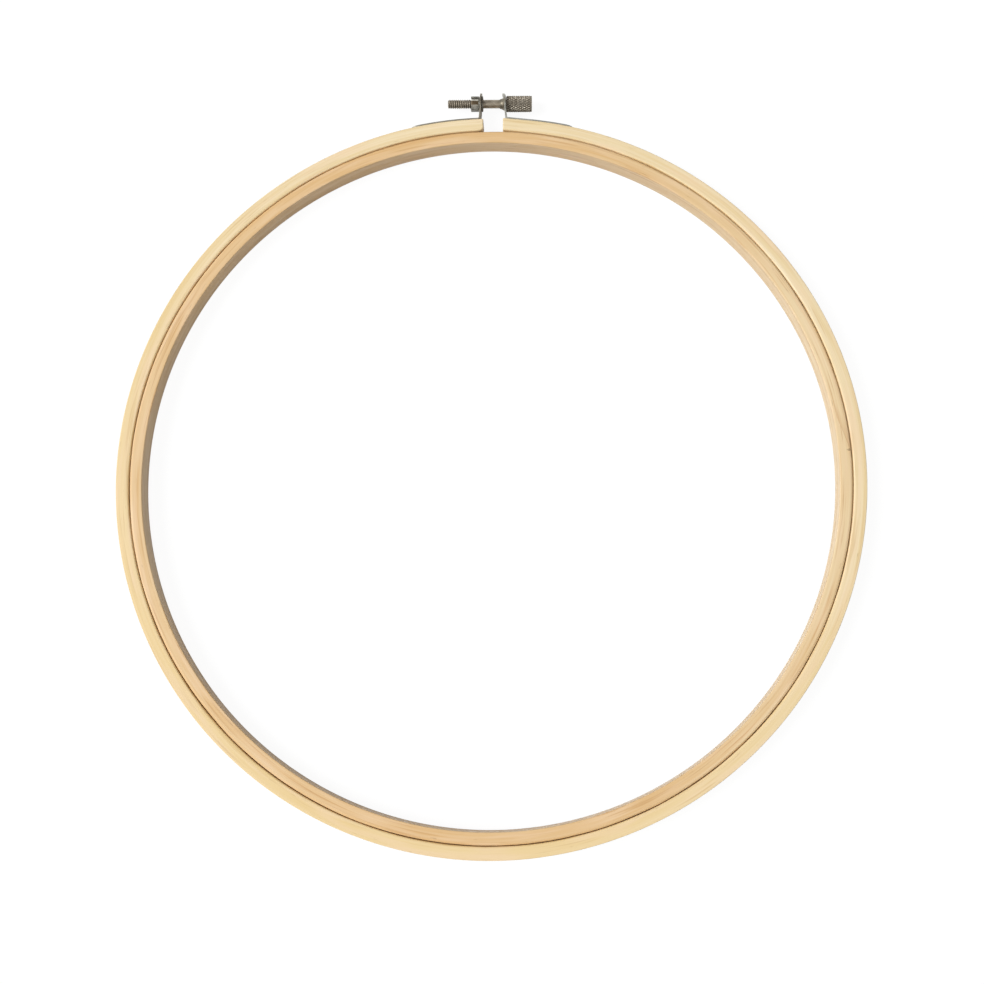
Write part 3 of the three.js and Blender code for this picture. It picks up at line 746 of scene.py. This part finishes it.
def sheetRoute(side):  # where the sheet's middle runs: lengths u, points and headings, from the tail
    b = brackets
    leave = leaveAngle(side)
    bend = b["bendInside"] + b["sheet"] / 2
    lean, curl = (math.radians(ofSide(b, name, side)) for name in ("lean", "curl"))
    ear = ofSide(b, "ear", side) + b["sheet"] / 2
    top = stripMiddle * math.cos(leave) + straightRun(side, stripMiddle, ear) * math.sin(leave)
    foot = (axisY - b["leanEnd"] - top) / (math.cos(lean) - math.sin(lean) * math.tan(leave))
    turn = math.pi / 2 - leave - lean
    straight = straightRun(side, stripMiddle, ear + foot * math.sin(lean)) - bend * math.tan(turn / 2)
    arc = (ofSide(b, "strip", side) - straight) / stripMiddle
    ease = b["curlRadius"] * math.tan(lean / 2)
    runs = [  # length and curvature
        (arc * stripMiddle, 1 / stripMiddle),
        (straight, 0),
        (turn * bend, -1 / bend),
        (foot - bend * math.tan(turn / 2) - ease, 0),
        (lean * b["curlRadius"], -1 / b["curlRadius"]),
        (b["leanEnd"] + ofSide(b, "curlFrom", side) - ease, 0),
        (curl * b["curlRadius"], 1 / b["curlRadius"]),
        (b["width"], 0),
    ]
    place = stripMiddle * np.array([math.sin(leave + arc), math.cos(leave + arc)])
    heading, u = math.pi - leave - arc, 0.0
    table = [(u, *place, heading)]
    for length, curve in runs:
        steps = max(2, math.ceil(length / b["step"]))
        step = length / steps
        for _ in range(steps):
            heading += curve * step / 2
            place = place + step * np.array([math.cos(heading), math.sin(heading)])
            heading += curve * step / 2
            u += step
            table.append((u, *place, heading))
    bendAt = arc * stripMiddle + straight
    return np.array(table), bendAt, bendAt + turn * bend, straight


def earOutline(half, across):  # of the ear, as (rise, across): from its foot up one side and down the other
    steps = brackets["columns"] // 2
    return ([(-half, v) for v in across] + [(-half + half * i / steps, half) for i in range(1, steps + 1)]
            + [(half * math.sin(t), half * math.cos(t)) for t in np.linspace(0, math.pi, 4 * steps + 1)[1:]]
            + [(-half * i / steps, -half) for i in range(1, steps)])


def collarProfile():  # (radius, distance out of the ear): along its trumpet, over its lip, back down its bore
    b = brackets
    mouth, foot, bore = b["collarMouth"] / 2, b["collarFoot"] / 2, b["bore"] / 2
    long, funnel = b["collar"], b["funnel"]
    lip = (mouth - bore) / 2
    return ([(mouth + (foot - mouth) * (1 - t) ** 2, long * t) for t in np.linspace(0, 1, 15)[1:-1]]
            + [(mouth - lip + lip * math.cos(t), long - lip + lip * math.sin(t))
               for t in np.linspace(0, math.pi, 7)]
            + [(bore + funnel * (1 - math.cos(t)), -b["sheet"] + funnel * (1 - math.sin(t)))
               for t in np.linspace(0, math.pi / 2, 6)])


def bracket(side, name, material):
    b = brackets
    half = b["width"] / 2
    table, bendFrom, bendTo, _ = sheetRoute(side)
    upper = table[len(table) // 2:]

    def alongEar(rise, off=0.0):  # where the sheet's face stands at a height above the screw's axis
        return float(np.interp(axisY + rise, upper[:, 2] + off * np.cos(upper[:, 3]), upper[:, 0]))

    def spot(place, off):  # a point of the sheet, off its middle towards the split or the hoop
        u, rise, v = place
        u = alongEar(rise, off) if u is None else u
        x, y, heading = (np.interp(u, table[:, 0], table[:, i]) for i in (1, 2, 3))
        return np.array([side * (x - off * math.sin(heading)), y + off * math.cos(heading), v])

    # Flat pattern, as (along or None, rise on the ear, across): a strip with a round tail
    columns = b["columns"]
    across = [-half + 2 * half * i / columns for i in range(columns + 1)]
    rows = [half * (1 - math.cos(math.pi / 2 * i / b["tailRows"])) for i in range(b["tailRows"] + 1)]
    for end, count in ((bendFrom, b["stripRows"]), (bendTo, b["bendRows"]), (alongEar(-half), b["footRows"])):
        rows += list(np.linspace(rows[-1], end, count))[1:]
    pattern = []
    for u in rows:
        wide = (1 - max(0.0, 1 - u / half) ** b["tailShape"]) ** (1 / b["tailShape"])
        pattern += [(None if u == rows[-1] else u, -half, v * wide) for v in across]
    faces = [(a, a + 1, a + columns + 2, a + columns + 1) for i in range(len(rows) - 1)
             for a in range(i * (columns + 1), i * (columns + 1) + columns)]

    # Rings round the ear's hole, on to the last row of the strip
    hole = (b["collarFoot"] if side > 0 else b["rivet"]) / 2
    border = earOutline(half, across)
    count, first = len(border), len(pattern)
    for share in b["ringShares"]:
        for rise, v in border:
            angle = math.atan2(v, rise)
            pattern.append((None, rise * share + hole * math.cos(angle) * (1 - share),
                            v * share + hole * math.sin(angle) * (1 - share)))
    faces += bands(len(b["ringShares"]), count, first)

    # Both faces of the sheet, and the walls round its outline
    n = len(pattern)
    points = [spot(p, off) for off in (b["sheet"] / 2, -b["sheet"] / 2) for p in pattern]
    whole = faces + [tuple(i + n for i in reversed(f)) for f in faces]
    use, merged = {}, {}
    for f in faces:
        for a, c in zip(f, f[1:] + f[:1]):
            pair = {merged.setdefault(tuple(np.round(points[i], 5)), i) for i in (a, c)}
            if len(pair) == 2:
                use.setdefault(tuple(sorted(pair)), []).append((a, c))
    holeRing = set(range(first, first + count))
    for pair, found in use.items():
        if len(found) == 1 and not (side > 0 and set(pair) <= holeRing):
            a, c = found[0]
            whole.append((c, a, a + n, c + n))

    # The collar is drawn out of the head side ear, on the screw's axis and not square to the leaning ear
    if side > 0:
        mouth, foot = b["collarMouth"] / 2, b["collarFoot"] / 2
        last = range(first, first + count)
        for radius, out in collarProfile():
            now = range(len(points), len(points) + count)
            share = (radius - mouth) / (foot - mouth) if radius > mouth else 0
            off = b["sheet"] / 2 + out
            for rise, v in border:
                angle = math.atan2(v, rise)
                rise, v = radius * math.cos(angle), radius * math.sin(angle)
                onAxis = np.array([side * (b["earRight"] + b["sheet"] / 2 - off), axisY + rise, v])
                points.append(spot((None, rise, v), off) * share + onAxis * (1 - share))
            whole += band(last, now)
            last = now
        whole += band(last, range(first + n, first + n + count))

    points = np.array(points) + np.array(ringMiddle)
    return rounded(shell(name, points, whole, material), b["edge"], scale=mm)


bracketLook = {**sheetLook, "grain": 0.25, "cloud": 2.5, "mark": 0.9}
# Both sheets are painted darker and browner round the screw's axis: painted shade
nickelSheet = sheetMaterial("nickelPlatedSheet", {
    **bracketLook, "light": "#bdbcb3", "dark": "#a3a299", "bright": "#d6d4cb", "wearAndSheen": 0.6, "roughness": 0.42,
    "metallic": 0.75, "screwShade": "#6f6552", "screwShadeReach": 2.4})
dulledSheet = sheetMaterial("dulledNickelSheet", {
    **bracketLook, "light": "#a9a294", "dark": "#8a8373", "bright": "#c9c5b8", "wearAndSheen": 0.4, "roughness": 0.45,
    "metallic": 0.7, "screwShade": "#5f5646", "screwShadeReach": 2.6})
nutSideBracket = bracket(-1, "nutSideBracket", dulledSheet)
headSideBracket = bracket(1, "headSideBracket", nickelSheet)
finishPiece(nutSideBracket, "outer_frame", "bracket_steel", "nut_side_bracket")
finishPiece(headSideBracket, "outer_frame", "bracket_steel", "head_side_bracket")


# Nut cage: two plates on a disc, with a hollow rivet through the ear; and the nut that it holds

cage = {
    "sheet": 0.4,
    "plateWidth": 3.0,
    "plateLength": 2.95,
    "bendInside": 0.25,
    "disc": 5.0,
    "discMore": 0.02,  # on each side, beyond the web of the plates
    "rim": 5.7,
    "rimThickness": 0.5,
    "rimLip": 0.45,  # how far its inner edge is rolled in
    "rimSunk": 0.12,
    "nutAcross": 3.7,
    "nutLength": 2.75,
    "nutChamfer": 1.1,
    "nutTurn": -10.0,
    "nutEdge": 0.12,
    "nutFunnel": 0.15,  # the bore's mouths
    "nutHighlit": 23,  # faces within so many degrees of a cut corner get the lighter steel: painted highlight
    "runGap": 0.06,
    "bore": 3.4,
    "edge": 0.1,
    "columns": 96,
}
nutFlat = cage["nutAcross"] / 2 - cage["nutChamfer"]
nutCorner = math.atan2(nutFlat, cage["nutAcross"] / 2) - math.radians(abs(cage["nutTurn"]))
cageInside = 2 * (math.hypot(cage["nutAcross"] / 2, nutFlat) * math.cos(nutCorner) + cage["runGap"])
cageBack = brackets["earLeft"] + brackets["sheet"] + brackets["seatGap"]
nutSeat = cageBack + cage["sheet"]


def tube(name, profile, *materials):  # an outline in (X, radius) pairs, turned about the screw's axis
    columns = cage["columns"]
    points = [(x, screwAxis.y + radius * math.cos(2 * math.pi * j / columns),
               screwAxis.z + radius * math.sin(2 * math.pi * j / columns))
              for x, radius in profile + profile[:1] for j in range(columns)]
    return shell(name, points, bands(len(profile) + 1, columns), *materials)


def addCage(material):
    c = cage
    bend = c["bendInside"] + c["sheet"] / 2
    apart = cageInside / 2 + c["sheet"] / 2  # from the axis to the middle of a plate
    reach = c["plateLength"] + c["sheet"] / 2 - bend
    start = -nutSeat - c["plateLength"]
    route = [(start, apart, 0.0), (start + reach, apart, 0.0)]
    quarter = np.linspace(0, math.pi / 2, 9)
    for centreY, angles in ((apart - bend, quarter[-2::-1]), (-apart + bend, -quarter)):
        route += [(start + reach + bend * math.cos(t), centreY + bend * math.sin(t), t - math.pi / 2)
                  for t in angles]
    route.append((start, -apart, -math.pi))
    points = []
    for x, y, heading in route:
        for off, z in ((1, -1), (1, 1), (-1, 1), (-1, -1)):  # a loop round the section
            off = off * c["sheet"] / 2
            points.append((x - off * math.sin(heading), screwAxis.y + y + off * math.cos(heading),
                           screwAxis.z + z * c["plateWidth"] / 2))
    n = len(points)
    ends = [(0, 1, 2, 3), (n - 4, n - 3, n - 2, n - 1)]
    obj = rounded(shell("nutCage", points, bands(len(route), 4) + ends, material), c["edge"])

    # The web between the plates is drilled wider than the bore; the rivet's thicker disc fills what is over
    bore, disc, rim, edge, more = c["bore"] / 2, c["disc"] / 2, c["rim"] / 2, c["edge"], c["discMore"]
    front, back, wide = -nutSeat - more / 2, -cageBack + more / 2, bore + more
    joined(obj, tube("drill", [(front, 0), (front, wide), (back, wide), (back, 0)]), "DIFFERENCE")
    front, back, shank = -nutSeat - more, -cageBack + more, brackets["rivet"] / 2
    rimFrom = -brackets["earLeft"] + brackets["seatGap"]
    half = c["rimThickness"] / 2
    rivet = [(front, bore), (front, disc - edge), (front + edge / 3, disc - edge / 3), (front + edge, disc),
             (back - edge, disc), (back - edge / 3, disc - edge / 3), (back, disc - edge), (back, shank),
             (rimFrom, shank)]
    rivet += [(rimFrom + half - half * math.cos(t), rim - half + half * math.sin(t))
              for t in np.linspace(0, math.pi, 9)]
    rivet += [(rimFrom + 2 * half - c["rimSunk"] * math.sin(t), bore + c["rimLip"] * math.cos(t))
              for t in np.linspace(0, math.pi / 2, 6)]
    joined(obj, tube("rivet", rivet, material), "UNION")
    return settle(obj, mm)


def addNut(*materials):
    c = cage
    corners = []
    for quarter in range(4):
        angle = math.pi / 2 * quarter + math.radians(c["nutTurn"])
        for across in (-nutFlat, nutFlat):
            corners.append((c["nutAcross"] / 2 * math.cos(angle) - across * math.sin(angle),
                            c["nutAcross"] / 2 * math.sin(angle) + across * math.cos(angle)))
    to = -nutSeat - brackets["seatGap"]
    far = to - c["nutLength"]
    points = [(x, screwAxis.y - z, screwAxis.z + y) for x in (far, to) for z, y in corners]
    n = len(corners)
    obj = shell("clampNut", points, [range(n), range(n, 2 * n)] + bands(2, n), *materials)
    for face in obj.data.polygons:  # the corners cut off the bar get a lighter copy of the steel: painted highlight
        around = math.degrees(math.atan2(face.normal.z, -face.normal.y)) - c["nutTurn"]
        face.material_index = int(abs(face.normal.x) < 0.5 and abs(around % 90 - 45) < c["nutHighlit"])
    rounded(obj, c["nutEdge"], segments=3, limit=30)
    bore, funnel = c["bore"] / 2, c["nutFunnel"]
    wide = bore + funnel + 1  # 1 mm beyond the nut's faces
    joined(obj, tube("drill", [(far - 1, 0), (far - 1, wide), (far + funnel, bore), (to - funnel, bore),
                               (to + 1, wide), (to + 1, 0)]), "DIFFERENCE")
    return settle(obj, mm)


# The cage is painted darker and browner round the screw's axis by its rim: painted shade
cageMaterial = sheetMaterial("nickelPlatedStrip", {
    **sheetLook, "light": "#96948b", "dark": "#74726a", "bright": "#e6e3da", "wearAndSheen": 0.8, "grain": 0.22,
    "cloud": 1.8, "mark": 0.8, "roughness": 0.4, "metallic": 0.6, "screwShade": "#574936", "screwShadeAt": -3.5,
    "screwShadeSquash": (1.6, 1, 1), "screwShadeReach": 3.0})
barLook = {**turnedLook, "grooveShade": "#3a2a18", "grooveShadeFrom": 0.3, "grooveShadeShare": 0.7, "ring": 0.12, "cloud": 1.6}
oiledBar = turnedMaterial("oiledSteelBar", {
    **barLook, "light": "#6f6049", "dark": "#51422f", "bright": "#a89e8c", "roughness": 0.45,
    "metallic": 0.6})
# A lighter copy of the nut's steel, for its cut corners: painted highlight
litNutBar = turnedMaterial("steelBarPaintedHighlight", {
    **barLook, "light": "#d2cfc4", "dark": "#aba69a", "bright": "#dedbd0", "roughness": 0.4,
    "metallic": 0.45})
nutCage = addCage(cageMaterial)
clampNut = addNut(oiledBar, litNutBar)
finishPiece(nutCage, "outer_frame", "cage_steel", "nut_cage")
finishPiece(clampNut, "nut", "turned_steel", "clamp_nut")


# Thumbscrew: a profile turned by a node tree, then cut by its thread and its knurl

thumbscrew = {
    "shank": 3.08,
    "tip": 16.6,  # from the middle of the clamp
    "tipChamfer": 0.35,
    "threadTo": -3.4,
    "pitch": 0.8,
    "threadDepth": 0.3,
    "threadRaised": 0.12,  # rolling lifts the crests above the plain shank
    "flankFrom": 0.05,  # shares of the pitch, from the middle of the crest
    "flankTo": 0.45,
    "runOut": 8.0,  # the thread fades over one part in so many of its length
    "head": 5.65,
    "headLength": 9.5,
    "headChamfer": 0.3,
    "headFace": 0.01,  # the knurl's cut starts this far before the head, so that the head's face stays flat
    "knurlCount": 20,
    "knurlPitch": 1.6,
    "knurlDepth": 0.34,
    "knurlRaised": 0.14,
    "knurlWide": 0.4,  # half a groove's width, as a share of the space between two
    "threadRows": 0.07,  # from ring to ring of points
    "knurlRows": 0.09,
    "shankRows": 12,
    "columns": 180,
    "sharp": 50,
}


def turnedTree():  # turns the base mesh's points, X along and Y the radius, about X
    tree, size, output = newTree("turnedShape", {"Columns": "Int"})
    count = add(tree, "GeometryNodeAttributeDomainSize", {0: size["Geometry"]})
    around = add(tree, "ShaderNodeMath", {0: size["Columns"], 1: 1.0}, operation="ADD")
    wide = add(tree, "ShaderNodeMath", {0: count, 1: 1.0}, operation="SUBTRACT")
    grid = add(tree, "GeometryNodeMeshGrid", {"Size X": wide, "Size Y": 1.0, "Vertices X": count,
                                              "Vertices Y": around})
    place = add(tree, "GeometryNodeInputPosition")
    here = add(tree, "ShaderNodeSeparateXYZ", {0: place}).outputs
    row = chain(tree, "ShaderNodeMath", wide, ("MULTIPLY_ADD", 0.5, here["X"]), ("ROUND",))
    profile = add(tree, "GeometryNodeSampleIndex", {"Geometry": size["Geometry"], "Value": place,
                                                    "Index": row}, data_type="FLOAT_VECTOR")
    profile = add(tree, "ShaderNodeSeparateXYZ", {0: profile}).outputs
    angle = add(tree, "ShaderNodeMath", {0: here["Y"], 1: 2 * math.pi}, operation="MULTIPLY")
    cos, sin = (add(tree, "ShaderNodeMath", {0: angle}, operation=name) for name in ("COSINE", "SINE"))
    y, z = (add(tree, "ShaderNodeMath", {0: profile["Y"], 1: way}, operation="MULTIPLY")
            for way in (cos, sin))
    turned = add(tree, "ShaderNodeCombineXYZ", {0: profile["X"], 1: y, 2: z})
    made = add(tree, "GeometryNodeSetPosition", {"Geometry": grid, "Position": turned})
    made = add(tree, "GeometryNodeMergeByDistance", {"Geometry": made, "Distance": 1e-6})
    plug(tree, add(tree, "GeometryNodeFlipFaces", {"Mesh": made}), output)
    return tree


turnedShape = turnedTree()


def screwTree():
    tree, size, output = newTree("turnedScrew", {"Columns": "Int", "Axis": "Vector", **dict.fromkeys((
        "Shank Radius", "Thread From", "Thread To", "Pitch", "Thread Depth", "Thread Raised", "Flank From",
        "Flank To", "Run Out", "Head From", "Head Radius", "Knurl Count", "Knurl Pitch", "Knurl Depth",
        "Knurl Wide"), "Float"), "Material": "Material"})
    body = add(tree, "GeometryNodeGroup", {"Geometry": size["Geometry"], "Columns": size["Columns"]},
               node_tree=turnedShape)
    x, y, z = add(tree, "ShaderNodeSeparateXYZ", {0: add(tree, "GeometryNodeInputPosition")}).outputs
    turn = chain(tree, "ShaderNodeMath", z, ("ARCTAN2", y), ("DIVIDE", 2 * math.pi))
    flat = add(tree, "ShaderNodeCombineXYZ", {0: 0.0, 1: y, 2: z})
    radius = add(tree, "ShaderNodeVectorMath", {0: flat}, operation="LENGTH").outputs["Value"]

    # Right-hand thread: a V with a flat crest, running out towards the plain shank
    phase = chain(tree, "ShaderNodeMath", x, ("DIVIDE", size["Pitch"]), ("SUBTRACT", turn), ("PINGPONG", 0.5))
    vee = add(tree, "ShaderNodeMapRange", {"Value": phase, "From Min": size["Flank From"],
                                           "From Max": size["Flank To"]})
    runOut = add(tree, "ShaderNodeMapRange", {"Value": x, "From Min": size["Thread To"], "To Min": 0.0,
                                              "From Max": size["Thread From"], "To Max": size["Run Out"]})
    runOut = add(tree, "ShaderNodeMath", {0: runOut, 1: 1.0}, operation="MINIMUM")
    vee = add(tree, "ShaderNodeMath", {0: vee, 1: runOut}, operation="MULTIPLY")
    raised = add(tree, "ShaderNodeMath", {0: runOut, 1: size["Thread Raised"], 2: size["Shank Radius"]},
                 operation="MULTIPLY_ADD")

    # Diamond knurl: two sets of grooves that wind opposite ways
    turns = add(tree, "ShaderNodeMath", {0: turn, 1: size["Knurl Count"]}, operation="MULTIPLY")
    steps = add(tree, "ShaderNodeMath", {0: x, 1: size["Knurl Pitch"]}, operation="DIVIDE")
    grooves = []
    for way in ("ADD", "SUBTRACT"):
        groove = chain(tree, "ShaderNodeMath", turns, (way, steps), ("PINGPONG", 0.5))
        grooves.append(add(tree, "ShaderNodeMapRange", {
            "Value": groove, "From Min": size["Knurl Wide"], "From Max": 0.0}))
    knurl = add(tree, "ShaderNodeMath", {0: grooves[0], 1: grooves[1]}, operation="MAXIMUM")

    # How far out each place may stand. Points beyond that are drawn in and keep how deep in a groove they lie
    most = [chain(tree, "ShaderNodeMath", groove, ("MULTIPLY", size[deep]), ("MULTIPLY_ADD", -1.0, outside))
            for outside, groove, deep in ((raised, vee, "Thread Depth"),
                                          (size["Head Radius"], knurl, "Knurl Depth"))]
    onHead = add(tree, "ShaderNodeMath", {0: x, 1: size["Head From"]}, operation="GREATER_THAN")
    most = add(tree, "ShaderNodeMix", {"Factor": onHead, "A": most[0], "B": most[1]})
    depth = add(tree, "ShaderNodeMix", {"Factor": onHead, "A": vee, "B": knurl})
    depth = chain(tree, "ShaderNodeMath", radius, ("SUBTRACT", most), ("GREATER_THAN", -1e-6),
                  ("MULTIPLY", depth))
    spare = add(tree, "ShaderNodeMath", {0: radius, 1: 1e-7}, operation="MAXIMUM")
    scale = chain(tree, "ShaderNodeMath", radius, ("MINIMUM", most), ("DIVIDE", spare))
    place = add(tree, "ShaderNodeVectorMath", {0: flat, "Scale": scale}, operation="SCALE")
    place = chain(tree, "ShaderNodeVectorMath", place, ("ADD", add(tree, "ShaderNodeCombineXYZ", {0: x})),
                  ("ADD", size["Axis"]))
    made = add(tree, "GeometryNodeStoreNamedAttribute", {"Geometry": body, "Name": "groove", "Value": depth})
    made = add(tree, "GeometryNodeSetPosition", {"Geometry": made, "Position": place})
    return endTree(tree, size, made, output)


def addThumbscrew(material):
    t = thumbscrew
    shank, head = t["shank"] / 2, t["head"] / 2 + t["knurlRaised"]
    tip, tipEdge, edge = -t["tip"], t["tipChamfer"], t["headChamfer"]
    crest = shank + t["threadRaised"]
    headFrom = brackets["earRight"] + brackets["sheet"] + brackets["seatGap"]
    headTo = headFrom + t["headLength"]
    parts = (0, 0.33, 0.67, 1)  # of a chamfer
    threadRows = round((t["threadTo"] - tip - tipEdge) / t["threadRows"])
    headRows = round((t["headLength"] - 2 * edge) / t["knurlRows"])
    profile = [(tip, 0.0), (tip, (crest - tipEdge) / 2)]
    profile += [(tip + tipEdge * s, crest - tipEdge * (1 - s)) for s in parts]
    profile += [(x, crest) for x in np.linspace(tip + tipEdge, t["threadTo"], threadRows + 1)[1:]]
    profile += [(x, shank) for x in np.linspace(t["threadTo"], headFrom, t["shankRows"])[1:]]
    profile += [(headFrom, (shank + head - edge) / 2)]
    profile += [(headFrom + edge * s, head - edge * (1 - s)) for s in parts]
    profile += [(x, head) for x in np.linspace(headFrom + edge, headTo - edge, headRows + 1)[1:]]
    profile += [(headTo - edge * (1 - s), head - edge * s) for s in parts[1:]]
    profile += [(headTo, (head - edge) * s) for s in (0.75, 0.4, 0.0)]
    mesh = bpy.data.meshes.new("knurledScrew")
    mesh.from_pydata([(x * mm, r * mm, 0) for x, r in profile], [], [])
    return grow(link("knurledScrew", mesh), screwTree(), {
        "Columns": t["columns"], "Axis": (0, screwAxis.y * mm, screwAxis.z * mm), "Shank Radius": shank * mm,
        "Thread From": tip * mm, "Thread To": t["threadTo"] * mm, "Pitch": t["pitch"] * mm,
        "Thread Depth": t["threadDepth"] * mm, "Thread Raised": t["threadRaised"] * mm,
        "Flank From": t["flankFrom"], "Flank To": t["flankTo"], "Run Out": t["runOut"],
        "Head From": (headFrom - t["headFace"]) * mm, "Head Radius": head * mm,
        "Knurl Count": float(t["knurlCount"]), "Knurl Pitch": t["knurlPitch"] * mm,
        "Knurl Depth": t["knurlDepth"] * mm, "Knurl Wide": t["knurlWide"], "Material": material},
        sharp=t["sharp"])


# Its grooves are painted a dark brown: painted shade
screwMaterial = turnedMaterial("turnedSteelWarm", {
    **turnedLook, "light": "#b0a695", "dark": "#908574", "bright": "#f2ebde", "edge": 0.16, "wearAndSheen": 1.0,
    "grooveShade": "#332b20", "grooveShadeFrom": 0.25, "grooveShadeShare": 0.85, "ring": 0.1, "cloud": 2.0, "roughness": 0.42,
    "metallic": 0.65})
screwPiece = addThumbscrew(screwMaterial)
finishPiece(screwPiece, "screw", "turned_steel", "thumbscrew")


# Tacks: one turned tack, set on four places along the strips

tacks = {
    "shank": 1.3,
    "head": 3.0,
    "dome": 0.65,
    "underEdge": 0.08,  # rounding under the head's rim
    "underRise": 0.03,
    "underIn": 0.02,
    "depth": 3.9,
    "point": 1.2,
    "places": (7.5, 17.5),  # along the strip, from the bend
    "columns": 48,
}


def tackTree():
    tree, size, output = newTree("domedTacks", {"Columns": "Int", "Material": "Material"})
    isPlace = add(tree, "GeometryNodeInputNamedAttribute", {"Name": "isPlace"}, data_type="BOOLEAN")
    parts = add(tree, "GeometryNodeSeparateGeometry", {"Geometry": size["Geometry"],
                                                       "Selection": isPlace}).outputs
    one = add(tree, "GeometryNodeGroup", {"Geometry": parts["Inverted"], "Columns": size["Columns"]},
              node_tree=turnedShape)
    outward = add(tree, "GeometryNodeInputNamedAttribute", {"Name": "outward"}, data_type="FLOAT_VECTOR")
    turn = add(tree, "FunctionNodeAlignRotationToVector", {"Vector": outward}, axis="X")
    made = add(tree, "GeometryNodeInstanceOnPoints", {"Points": parts["Selection"], "Instance": one,
                                                      "Rotation": turn})
    return endTree(tree, size, made, output)


def addTacks(material):
    t = tacks
    under = brackets["sheet"] + 2 * brackets["seatGap"]
    shank, head, rim = t["shank"] / 2, t["head"] / 2, t["dome"] / 4
    profile = [(-t["depth"], 0.0), (t["point"] - t["depth"], shank), (under, shank),
               (under, head - t["underEdge"]), (under + t["underRise"], head - t["underIn"])]
    profile += [(under + rim + (t["dome"] - rim) * math.sin(a), head * math.cos(a))
                for a in np.linspace(0, math.pi / 2, 10)]
    places, outward = [], []
    for side in (-1, 1):
        straight = sheetRoute(side)[3]
        for along in t["places"]:
            angle = leaveAngle(side) + max(along - straight, 0) / stripMiddle
            short = max(straight - along, 0)
            out = Vector((side * math.sin(angle), math.cos(angle), 0))
            toTail = Vector((side * math.cos(angle), -math.sin(angle), 0))
            places.append((out * outerOutside - toTail * short + ringMiddle) * mm)
            outward.append(tuple(out))
    mesh = bpy.data.meshes.new("tacks")
    mesh.from_pydata([(x * mm, r * mm, 0) for x, r in profile] + places, [], [])
    flags = mesh.attributes.new("isPlace", "BOOLEAN", "POINT")
    flags.data.foreach_set("value", [False] * len(profile) + [True] * len(places))
    ways = mesh.attributes.new("outward", "FLOAT_VECTOR", "POINT")
    ways.data.foreach_set("vector", np.array([(0, 0, 1)] * len(profile) + outward, np.float32).ravel())
    return grow(link("tacks", mesh), tackTree(), {"Columns": t["columns"], "Material": material})


tackMaterial = sheetMaterial("nickelPlatedTack", {
    **sheetLook, "light": "#bcbab4", "dark": "#a19f99", "bright": "#d6d4ce", "wearAndSheen": 0.5, "grain": 0.2,
    "cloud": 1.5, "mark": 0.7, "roughness": 0.3, "metallic": 0.9, "screwShadeShare": 0.0})
tackPiece = addTacks(tackMaterial)
finishPiece(tackPiece, "outer_frame", "tack_steel", "nut_side_tack_1", "nut_side_tack_2", "head_side_tack_1",
            "head_side_tack_2")
